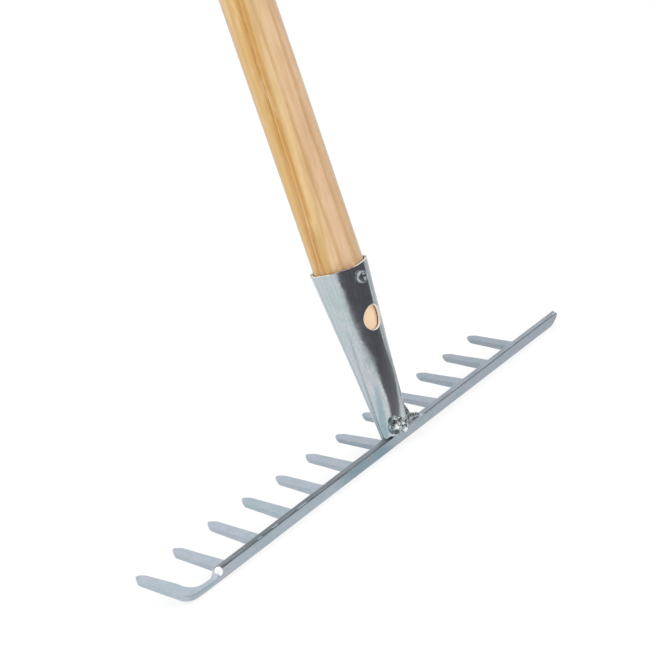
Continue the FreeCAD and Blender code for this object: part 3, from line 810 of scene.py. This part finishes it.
def plain_rings():
    stations = list(END_STATIONS)
    while stations[-1] + 6.5 < BEND_X - BAR_LEFT:
        stations.append(stations[-1] + 6.0)
    rings = []
    for along in stations:
        low = 0.0
        if along < END_ROUNDING:
            low = 4.8 * (1 - smoothstep(0, 1, min(1, along / END_ROUNDING) ** 0.72))
        back = lerp(END_BACK, BAR_BACK, min(1.0, along / END_SLANT))
        trim = 0.15 * max(0.0, 1 - along / 0.4) ** 2
        ring = []
        for up, across in rounded((low + trim, BAR_TOP - trim),
                                  (BAR_FRONT + trim, back - trim * 0.5), BAR_EDGE_R, b_mids=3):
            point = head(BAR_LEFT + along, across, up)
            # slight waves of sheared strip
            ring.append(point + BACK * wobble(point, scale=0.035, amount=0.06, seed=2.0)
                        + UP * wobble(point, scale=0.03, amount=0.06, seed=9.0))
        rings.append(ring)
    return rings


def turn_path(face, leg_x, radius, share):
    """Plan point (x, back) at a share of one edge's way round the bend into the end tine."""
    run = (leg_x - radius) - FLAT_X
    arc = math.pi / 2 * radius
    tail = (face - radius) + LEG
    travelled = (run + arc + tail) * share
    if travelled <= run:
        return FLAT_X + travelled, face
    if travelled <= run + arc:
        angle = (travelled - run) / radius
        return (leg_x - radius + radius * math.sin(angle),
                face - radius + radius * math.cos(angle))
    return leg_x, face - radius - (travelled - run - arc)


def strip_ring(inner, outer, low, high, radius, crown=0.0):
    """Section between an inner and an outer plan point, from height low to high."""
    width = math.hypot(outer[0] - inner[0], outer[1] - inner[1])
    ring = []
    for up, across in rounded((low, high), (0, width), radius, b_mids=3):
        share = across / width
        lift = crown * 4 * share * (1 - share) * (1 if up > (low + high) / 2 else -1)
        ring.append(head(lerp(inner[0], outer[0], share), lerp(inner[1], outer[1], share),
                         up + lift))
    return ring


def bar_rings():
    rings = plain_rings()
    # slope down to the flat strip
    for i in range(1, 17):
        x = lerp(BEND_X, FLAT_X, i / 16)
        change = smoothstep(0, 1, i / 16)
        rings.append(strip_ring((x, lerp(BAR_FRONT, STRIP_FRONT, change)), (x, BAR_BACK), 0.0,
                                lerp(BAR_TOP, STRIP_TOP, change),
                                lerp(BAR_EDGE_R, 0.6, change)))
    # round the bend
    for i in range(1, 45):
        share = i / 45
        change = smoothstep(0.1, 1.0, share)
        inner = turn_path(STRIP_FRONT, END_TINE_X - ROOT_W / 2, BEND_R_INNER, share)
        outer = turn_path(BAR_BACK, END_TINE_X + ROOT_W / 2, BEND_R_OUTER, share)
        rings.append(strip_ring(inner, outer, (BLADE_MID - ROOT_T / 2) * change,
                                lerp(STRIP_TOP, BLADE_MID + ROOT_T / 2, change),
                                BLADE_EDGE_R, 0.04 * change))
    # end tine
    for y in tine_stations(LEG, END_REACH):
        share, plus, minus, half_thick = blade_section(y, LEG, END_REACH)
        z = BLADE_MID + (END_MID - BLADE_MID) * share
        rings.append(strip_ring((END_TINE_X - minus, -y), (END_TINE_X + plus, -y),
                                z - half_thick, z + half_thick,
                                min(BLADE_EDGE_R, half_thick * 0.55), 0.04))
    return rings


def build_bar():
    verts, faces = closed_tube(bar_rings())
    ob = mesh_object("bar_with_end_tine", verts, faces, zinc_bar)
    weight_normals(ob)
    stand_for(ob, "rake_bar")


build_bar()


# ------------------------------------------------------------------ socket
SOCKET_COLUMNS, SOCKET_ROWS = 144, 96
COLUMN_ANGLE = 2 * math.pi / SOCKET_COLUMNS
FIRST_ANGLE = math.pi / 2 - HOLE_TURN                 # column 0 runs through the side hole
PRESS_TOP = LOW_Z + 13                                # the foot is pressed flatter below this


def half_sizes(z, inset):
    share = (z - LOW_Z) / (RIM_Z - LOW_Z)
    return lerp(LOW_HALF_X, RIM_R, share) - inset, lerp(LOW_HALF_Y, RIM_R, share) - inset


def foot_shift(z):
    return LOW_SHIFT * (1 - (z - LOW_Z) / (RIM_Z - LOW_Z))


def low_end(angle):
    """Height of the wall's lower edge: on the bar's top, or lower down in front of it."""
    toward_back = math.sin(angle)
    z = 7.0
    for _ in range(6):
        y = half_sizes(z, 0.5)[1] * toward_back + LOW_SHIFT.y
        z = (BAR_TOP - 0.05 - y * math.sin(TILT)) / math.cos(TILT)
    return lerp(z, LOW_Z, smoothstep(-0.60, -0.80, toward_back))


def row_height(angle, row):
    low = low_end(angle)
    return low + (RIM_Z - low) * row / SOCKET_ROWS


def skin_point(angle, z, inset):
    half_x, half_y = half_sizes(z, inset)
    point = Vector((half_x * math.cos(angle), half_y * math.sin(angle), z)) + foot_shift(z)
    # the foot is pressed a little flatter beside the weld
    limit = lerp(1.5, 6.5, smoothstep(LOW_Z + 1, PRESS_TOP, z)) - inset
    if point.y > limit and z < PRESS_TOP:
        pressed = limit + 0.3 * (point.y - limit)
        point.y = lerp(point.y, pressed, smoothstep(3.5, 8.0, point.x))
    return point


def sideways_of(turn):
    """Level direction across the axis of a hole turned from +Y towards +X."""
    return Vector((math.cos(turn), -math.sin(turn), 0))


def angle_at(offset, z, inset, turn):
    """Angle of the wall point at this offset across a hole's axis, on the hole's side."""
    half_x, half_y = half_sizes(z, inset)
    offset -= foot_shift(z).dot(sideways_of(turn))
    side_x, side_y = half_x * math.cos(turn), half_y * math.sin(turn)
    ratio = offset / math.hypot(side_x, side_y)
    return math.acos(max(-1.0, min(1.0, ratio))) - math.atan2(side_y, side_x)


class Opening:
    """A round hole and the window of grid cells cleared for it."""

    def __init__(self, z, radius, turn, half_columns, margin):
        self.z, self.radius, self.turn = z, radius, turn
        self.middle = int(round((HOLE_TURN - turn) / COLUMN_ANGLE))
        self.first, self.last = self.middle - half_columns, self.middle + half_columns
        row_size = (RIM_Z - low_end(math.pi / 2)) / SOCKET_ROWS
        base = low_end(FIRST_ANGLE)
        self.low = int(math.floor((z - margin - base) / row_size))
        self.high = min(int(math.ceil((z + margin - base) / row_size)), SOCKET_ROWS - 1)

    def cells(self):
        return {(i % SOCKET_COLUMNS, j) for i in range(self.first, self.last)
                for j in range(self.low, self.high)}

    def border(self):
        return ([(i, self.low) for i in range(self.first, self.last)]
                + [(self.last, j) for j in range(self.low, self.high)]
                + [(i, self.high) for i in range(self.last, self.first, -1)]
                + [(self.first, j) for j in range(self.high, self.low, -1)])


def socket_wall(inset, openings):
    """Grid of angle and height with rings round each hole: verts, faces, open loops."""
    verts, faces, index = [], [], {}

    def vert_at(i, j):
        key = (i % SOCKET_COLUMNS, j)
        if key not in index:
            angle = FIRST_ANGLE + 2 * math.pi * key[0] / SOCKET_COLUMNS
            index[key] = len(verts)
            verts.append(skin_point(angle, row_height(angle, j), inset))
        return index[key]

    skipped = set().union(*(opening.cells() for opening in openings))
    for i in range(SOCKET_COLUMNS):
        for j in range(SOCKET_ROWS):
            if (i, j) not in skipped:
                faces.append((vert_at(i, j), vert_at(i + 1, j),
                              vert_at(i + 1, j + 1), vert_at(i, j + 1)))
    hole_loops = []
    for opening in openings:
        border = opening.border()
        previous = [vert_at(i, j) for i, j in border]
        ways = []                                     # from border to circle, (angle, z) each
        for i, j in border:
            angle = FIRST_ANGLE + 2 * math.pi * i / SOCKET_COLUMNS
            z = row_height(angle, j)
            sideways = skin_point(angle, z, inset).dot(sideways_of(opening.turn))
            bearing = math.atan2(z - opening.z, sideways)
            hole_z = opening.z + opening.radius * math.sin(bearing)
            hole_angle = angle_at(opening.radius * math.cos(bearing), hole_z, inset,
                                  opening.turn)
            while hole_angle - angle > math.pi:
                hole_angle -= 2 * math.pi
            while angle - hole_angle > math.pi:
                hole_angle += 2 * math.pi
            ways.append((angle, z, hole_angle, hole_z))
        for share in (0.30, 0.62, 0.86, 1.0):
            ring = []
            for angle, z, hole_angle, hole_z in ways:
                ring.append(len(verts))
                verts.append(skin_point(lerp(angle, hole_angle, share),
                                        lerp(z, hole_z, share), inset))
            for k in range(len(border)):
                after = (k + 1) % len(border)
                faces.append((previous[k], previous[after], ring[after], ring[k]))
            previous = ring
        hole_loops.append(previous)
    rim = [vert_at(i, SOCKET_ROWS) for i in range(SOCKET_COLUMNS)]
    foot = [vert_at(i, 0) for i in range(SOCKET_COLUMNS)]
    return verts, faces, [rim, foot] + hole_loops


def hand_made(vert):
    """Uneven rim from hand shears, and shallow dents in the wall."""
    point = Vector(vert)
    near_rim = smoothstep(RIM_Z - 6, RIM_Z, point.z)
    angle = math.atan2(point.y, point.x)
    point.z += near_rim * (0.16 * math.sin(3 * angle + 0.7)
                           + 0.10 * math.sin(7 * angle + 2.1) - 0.26)
    dent_share = smoothstep(10, 40, point.z) * (1 - 0.5 * near_rim)
    dent = wobble(point, scale=0.035, amount=0.16, seed=4.0) * dent_share
    outward = Vector((point.x, point.y, 0))
    if outward.length > 0.1:
        point += outward.normalized() * dent
    return point


def build_socket():
    openings = [
        Opening(HOLE_Z, HOLE_R, HOLE_TURN, half_columns=16, margin=HOLE_R + 2.5),
        Opening(SCREW_Z, SCREW_HOLE_R, SCREW_TURN, half_columns=5, margin=3.2),
    ]
    outer_verts, outer_faces, outer_loops = socket_wall(0.0, openings)
    inner_verts, inner_faces, inner_loops = socket_wall(WALL, openings)
    offset = len(outer_verts)
    faces = outer_faces + [tuple(k + offset for k in reversed(face)) for face in inner_faces]
    for outer, inner in zip(outer_loops, inner_loops):
        for k in range(len(outer)):
            after = (k + 1) % len(outer)
            faces.append((outer[k], outer[after], inner[after] + offset, inner[k] + offset))
    verts = [hand_made(vert) for vert in outer_verts + inner_verts]
    ob = mesh_object("socket_tube", verts, faces, zinc_socket)
    bevel = ob.modifiers.new("edges", "BEVEL")
    bevel.limit_method = "ANGLE"
    bevel.angle_limit = math.radians(48)
    bevel.width = 0.28 * MM
    bevel.segments = 3
    bevel.use_clamp_overlap = True
    weight_normals(ob)
    stand_for(ob, "socket")


build_socket()


# ------------------------------------------------------------------ handle
TENON_GAP = 0.45
TOP_ROUND = 5.0


def handle_ring(z, half_x, half_y, unevenness=1.0):
    count = 112
    points = []
    for k in range(count):
        angle = 2 * math.pi * k / count
        outward = Vector((math.cos(angle), math.sin(angle), 0))
        bump = wobble((math.cos(angle) * 6, math.sin(angle) * 6, z * 0.05),
                      scale=0.35, amount=0.09, seed=1.0) * unevenness
        point = Vector((half_x * math.cos(angle), half_y * math.sin(angle), z))
        points.append(point + outward * bump - outward * 0.05 * unevenness)
    return points


def build_handle():
    half_x, half_y = (half - TENON_GAP for half in half_sizes(TENON_LOW, WALL))
    # rounded lower edge of the tenon: height above its end, inset
    rings = [handle_ring(TENON_LOW + up, half_x - inset, half_y - inset, 0)
             for up, inset in ((0, 0.8), (0.25, 0.25), (0.9, 0))]
    # tenon, widening to the full shaft at the rim
    for i in range(1, 25):
        share = i / 24
        z = lerp(TENON_LOW + 0.9, RIM_Z, share)
        ring = handle_ring(z, lerp(half_x, HANDLE_R, share), lerp(half_y, HANDLE_R, share), 0)
        rings.append([point + foot_shift(z) for point in ring])
    # shaft
    shaft_top = HANDLE_TOP - TOP_ROUND
    steps = 150
    for i in range(1, steps + 1):
        z = lerp(RIM_Z, shaft_top, i / steps)
        rings.append(handle_ring(z, HANDLE_R, HANDLE_R, smoothstep(RIM_Z, RIM_Z + 12, z)))
    # rounded top and its flat face
    face_r = HANDLE_R - TOP_ROUND
    for i in range(1, 9):
        angle = math.pi / 2 * i / 8
        radius = face_r + TOP_ROUND * math.cos(angle)
        rings.append(handle_ring(shaft_top + TOP_ROUND * math.sin(angle), radius, radius,
                                 1 - i / 8))
    for share in (0.75, 0.5, 0.25):
        rings.append(handle_ring(HANDLE_TOP, face_r * share, face_r * share, 0))
    verts, faces = closed_tube(rings)
    ob = mesh_object("handle_shaft", verts, faces, softwood)
    stand_for(ob, "handle")


build_handle()


# ------------------------------------------------------------------ screw
SHANK_R, THREAD_ROOT_R = 1.98, 1.55
HEAD_HEIGHT = 2.2
# point: depth inside the rim radius, radius
SCREW_POINT = [(21.0, 0.12), (20.2, 0.9), (17.0, 1.95)]
# head: height above its seat, radius
SCREW_HEAD = [(-0.2, SHANK_R), (0, SHANK_R), (0.02, 3.3), (0.2, 3.45), (0.5, 3.50), (0.75, 3.48),
              (1.1, 3.36), (1.45, 3.12), (1.70, 2.85), (1.88, 2.55)]
# recess: depth below the head's height, radius, how far the outline is a four-lobed star
SCREW_RECESS = [(0.26, 2.38, 0), (0.30, 2.25, 0), (0.55, 2.1, 0.25), (0.75, 1.85, 0.55),
                (0.95, 1.66, 0.8), (1.15, 1.45, 0.8), (1.3, 1.2, 0.6), (1.42, 0.6, 0.4)]


def screw_ring(distance, radius, star=0.0):
    """Ring at a distance from the socket's axis, along the screw."""
    outward = Vector((math.sin(SCREW_TURN), math.cos(SCREW_TURN), 0))
    count = 72
    points = []
    for k in range(count):
        angle = 2 * math.pi * k / count
        lobe = abs(math.cos(2 * angle)) ** 3
        reach = radius * lerp(1.0, 0.55 + 0.95 * lobe, star)
        points.append(outward * distance + sideways_of(SCREW_TURN) * (reach * math.cos(angle))
                      + Vector((0, 0, SCREW_Z + reach * math.sin(angle))))
    return points


def build_screw():
    seat = RIM_R - 0.25
    rings = [screw_ring(RIM_R - depth, radius) for depth, radius in SCREW_POINT]
    for i in range(23):                               # thread in the wood
        rings.append(screw_ring(RIM_R - 16.5 + 0.6 * i, SHANK_R if i % 2 else THREAD_ROOT_R))
    rings += [screw_ring(seat + up, radius) for up, radius in SCREW_HEAD]
    rings += [screw_ring(seat + HEAD_HEIGHT - depth, radius, star)
              for depth, radius, star in SCREW_RECESS]
    verts, faces = closed_tube(rings)
    ob = mesh_object("socket_screw_head", verts, faces, screw_steel)
    stand_for(ob, "socket_screw")


build_screw()

# ------------------------------------------------------------------ weld and end bead
# drops of the weld: centre and half sizes
WELD_DROPS = [
    ((5.1, 5.7, 12.9), (2.8, 2.2, 3.7)), ((2.8, 6.0, 10.4), (2.6, 2.1, 2.6)),
    ((-0.8, 6.1, 8.0), (2.1, 2.3, 3.1)), ((3.9, 5.3, 7.9), (2.8, 1.9, 1.8)),
    ((7.0, 4.7, 10.4), (1.8, 1.6, 2.9)), ((3.4, 5.6, 14.8), (2.3, 1.5, 1.9)),
    ((0.2, 5.5, 12.6), (2.4, 1.7, 2.2)), ((-2.6, 4.7, 7.4), (2.4, 1.9, 2.2)),
    ((-4.8, 4.3, 9.7), (2.7, 1.8, 2.3)), ((-8.2, 3.7, 9.7), (2.8, 1.6, 2.2)),
    ((-11.6, 2.9, 9.5), (2.6, 1.6, 2.6)), ((-14.4, 2.3, 8.5), (2.7, 1.5, 2.0)),
    ((-17.2, 2.1, 7.6), (2.6, 1.4, 1.7)), ((-19.4, 2.1, 6.8), (1.9, 1.3, 1.3)),
    ((-12.4, 2.1, 12.2), (1.3, 1.1, 2.7)), ((-12.0, 1.7, 14.8), (0.9, 0.9, 2.3)),
    ((1.8, 4.6, 9.0), (5.0, 1.6, 3.6)),
]
END_BEAD = [(head(156.7, 0.9, 4.9), (2.05, 1.95, 2.45))]


def build_lump(name, drops, material, node, voxel, unevenness, seed):
    """Overlapping drops melted into one lump."""
    bm = bmesh.new()
    for centre, half in drops:
        placing = (Matrix.Translation(Vector(centre) * MM)
                   @ Matrix.Diagonal((half[0] * MM, half[1] * MM, half[2] * MM, 1)))
        bmesh.ops.create_icosphere(bm, subdivisions=4, radius=1.0, matrix=placing)
    mesh = bpy.data.meshes.new(name)
    bm.to_mesh(mesh)
    bm.free()
    ob = bpy.data.objects.new(name, mesh)
    bpy.context.scene.collection.objects.link(ob)
    fuse = ob.modifiers.new("fuse", "REMESH")
    fuse.mode = "VOXEL"
    fuse.voxel_size = voxel * MM
    melt = ob.modifiers.new("melt", "SMOOTH")
    melt.factor = 0.5
    melt.iterations = 4
    # keep the evaluated mesh, so that no modifier is left
    depsgraph = bpy.context.evaluated_depsgraph_get()
    melted = bpy.data.meshes.new_from_object(ob.evaluated_get(depsgraph))
    ob.modifiers.clear()
    ob.data = melted
    normals = [vert.normal.copy() for vert in melted.vertices]
    for vert, normal in zip(melted.vertices, normals):
        point = vert.co / MM
        push = (wobble(point, scale=0.55, amount=unevenness, seed=seed)
                + wobble(point, scale=1.4, amount=unevenness * 0.35, seed=seed + 3))
        vert.co += normal * push * MM
    for face in melted.polygons:
        face.use_smooth = True
    melted.materials.clear()
    melted.materials.append(material)
    stand_for(ob, node)


build_lump("socket_weld_bead", WELD_DROPS, weld_metal, "socket_weld",
           voxel=0.26, unevenness=0.26, seed=1.0)
build_lump("end_bead_drop", END_BEAD, bead_painted_highlight, "end_bead",
           voxel=0.16, unevenness=0.10, seed=2.0)

# ------------------------------------------------------------------ what the metal mirrors
GLOOM = (0.120, 0.116, 0.124)
# edges of the dark part of the floor, mm: (y, x) of its +X edge, (x, y) of its -Y edge
DARK_SIDE = [(0, -8), (34, -8), (42, -13), (52, -18), (64, -21), (89, -13), (104, -4),
             (113, 8), (120, 19), (129, 60), (133, 92), (138, 139), (143, 300), (150, 900)]
DARK_NEAR = [(-900, 200), (-259, 96), (-241, 92), (-222, 88), (-200, 80), (-150, 60),
             (-135, 38), (-119, 14), (-95, 22), (-64, 25), (-34, 24), (900, 24)]
# ramps hold 0 to 1 only, so the edges are scaled and shifted to fit, mm
SIDE_LENGTH, SIDE_SHIFT, SIDE_RANGE = 200, 50, 1000
NEAR_HALF, NEAR_RANGE = 900, 300


def azimuth(m, x, y):
    """Degrees from +Y towards +X."""
    return m.mul(m.math("ARCTAN2", x, y), DEGREES)


def elevation(m, z):
    return m.mul(m.math("ARCSINE", z), DEGREES)


def studio_sky(m, height):
    return m.ramp(m.step(height, over=(-60, 90)),
                  [(0.0, (0.90, 0.92, 0.92)), (0.45, (0.97, 0.98, 0.99)),
                   (1.0, (0.93, 0.95, 0.97))])


def mirrored_room(m, direction):
    """Pale studio all round, dark low down on the +Y side."""
    x, y, z = m.split(direction)
    bearing = azimuth(m, x, y)
    height = elevation(m, z)
    dark = m.mul(m.step(bearing, over=(-90, -78)), m.step(bearing, over=(72, 64)))
    dark = m.mul(dark, m.step(height, over=(24, 12)))
    return m.mix(dark, studio_sky(m, height), GLOOM)


def mirrored_floor(m, direction, position):
    """Pale floor with a dark part beyond two bent lines."""
    x, y, _ = m.split(position)
    side_x = m.curve(m.mul(y, 1 / (SIDE_LENGTH * MM)),
                     [(at / SIDE_LENGTH, (edge + SIDE_SHIFT) / SIDE_RANGE)
                      for at, edge in DARK_SIDE])
    side_x = m.sub(side_x, SIDE_SHIFT * MM)
    near_y = m.curve(m.math("MULTIPLY_ADD", x, 1 / (2 * NEAR_HALF * MM), 0.5),
                     [((at + NEAR_HALF) / (2 * NEAR_HALF), edge / NEAR_RANGE)
                      for at, edge in DARK_NEAR])
    near_y = m.mul(near_y, NEAR_RANGE * MM)
    past = m.sub(x, side_x)
    dark = m.mul(m.step(past, over=(0.003, -0.003)),
                 m.step(m.sub(y, near_y), over=(-0.002, 0.004)))
    # the dark part is lighter close to the socket
    gloom = m.mix(m.step(y, over=(0.035, 0.110)), (0.205, 0.192, 0.204), (0.120, 0.114, 0.126))
    # dimmer on the -X side, brighter next to the dark part, teal near the socket
    sky = studio_sky(m, elevation(m, m.split(direction)["Z"]))
    dim = m.mul(m.step(x, over=(0.0, -0.03)), m.step(y, over=(0.018, 0.026)))
    sky = m.mix(dim, sky, (0.50, 0.54, 0.57))
    fringe = m.mul(m.step(past, over=(0.030, 0.004)), m.step(y, over=(0.02, 0.06)))
    sky = m.mix(fringe, sky, (1.02, 1.05, 1.0))
    teal_strength = 0.8
    teal = m.mul(m.step(x, over=(0.003, 0.012)), m.step(x, over=(0.062, 0.040)))
    teal = m.mul(teal, m.step(y, over=(0.100, 0.065)))
    sky = m.mix(m.mul(teal, teal_strength), sky, (0.52, 0.66, 0.70))
    return m.mix(dark, sky, gloom)


# ------------------------------------------------------------------ floor
def floor_material():
    """Matt white paint; mirrors see the painted studio, the camera sees it nearly white."""
    m = Material("floor_paint")
    m.set(Base_Color=m.ramp(m.noise(m.co, scale=3.0, rough=0.5),
                            [(0.3, (0.955, 0.955, 0.955)), (0.7, (0.965, 0.965, 0.965))]),
          Roughness=0.9, Specular_IOR_Level=0.0)
    ray = m.node("VectorMath", {0: m.geometry["Incoming"], "Scale": -1.0}, operation="SCALE")
    seen = mirrored_floor(m, ray.outputs["Vector"], m.geometry["Position"])
    mirror = m.node("Emission", {"Color": seen})
    path = m.node("LightPath").outputs
    choose = m.node("MixShader", {0: path["Is Glossy Ray"], 1: m.bsdf.outputs[0],
                                  2: mirror.outputs[0]})
    glow = m.node("Emission", {"Color": (1.0, 1.0, 1.0)})
    glow_share = 0.78
    soften = m.node("MixShader", {0: m.mul(path["Is Camera Ray"], glow_share),
                                  1: choose.outputs[0], 2: glow.outputs[0]})
    m.put(m.surface, soften.outputs[0])
    return m.material


def build_floor():
    floor_z = min(cad_box[0].z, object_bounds()[0].z) - 0.0002
    bm = bmesh.new()
    bmesh.ops.create_circle(bm, cap_ends=True, cap_tris=True, segments=96, radius=60.0)
    mesh = bpy.data.meshes.new("floor")
    bm.to_mesh(mesh)
    bm.free()
    floor = bpy.data.objects.new("floor", mesh)
    floor.location = (0, 0, floor_z)
    bpy.context.scene.collection.objects.link(floor)
    mesh.materials.append(floor_material())


build_floor()


# ------------------------------------------------------------------ light
def build_world():
    """White to the camera, the studio to mirrors, an even fill to everything else."""
    world = bpy.data.worlds.new("studio")
    bpy.context.scene.world = world
    world.use_nodes = True
    w = Graph(world.node_tree)
    direction = w.node("TexCoord").outputs["Generated"]
    path = w.node("LightPath").outputs
    x, y, _ = w.split(direction)
    fill = w.mix(w.step(azimuth(w, x, y), over=(-120, 60)),
                 (1.03, 1.045, 1.06), (1.06, 1.05, 1.035))
    colour = w.mix(path["Is Glossy Ray"], fill, mirrored_room(w, direction))
    colour = w.mix(path["Is Camera Ray"], colour, (1.0, 1.0, 1.0))
    background = w.node("Background", {"Color": colour, "Strength": 1.0})
    w.node("OutputWorld", {"Surface": background.outputs[0]})


def area_light(name, location, target, size, power):
    light = bpy.data.lights.new(name, "AREA")
    light.shape = "RECTANGLE"
    light.size, light.size_y = size
    light.energy = power
    ob = bpy.data.objects.new(name, light)
    bpy.context.scene.collection.objects.link(ob)
    ob.location = location
    ob.rotation_mode = "QUATERNION"
    aim = Vector(target) - Vector(location)
    ob.rotation_quaternion = aim.to_track_quat("-Z", "Y")
    ob.visible_camera = False
    ob.visible_glossy = False


build_world()
area_light("key_box", location=(1.5, -0.4, 1.5), target=(0, 0, 0.12), size=(1.0, 1.0),
           power=9.0)
area_light("side_box", location=(-0.9, 1.3, 1.0), target=(0, 0, 0.15), size=(0.6, 0.9),
           power=4.0)


# ------------------------------------------------------------------ camera
def build_camera():
    view = bpy.data.cameras.new("view")
    view.sensor_width = 36.0
    view.lens = 101.51
    view.clip_start, view.clip_end = 0.05, 200
    camera = bpy.data.objects.new("view", view)
    bpy.context.scene.collection.objects.link(camera)
    place = (0.715089, 0.635337, 0.301061)
    right = Vector((-0.584357, 0.746021, -0.319343))
    upward = Vector((-0.382042, 0.094275, 0.919324))
    backward = right.cross(upward)
    rows = [tuple(row) for row in zip(right, upward, backward, place)]
    camera.matrix_world = Matrix(rows + [(0, 0, 0, 1)])
    bpy.context.scene.camera = camera


build_camera()
bpy.context.scene.view_settings.view_transform = "Standard"
bpy.context.scene.view_settings.look = "None"
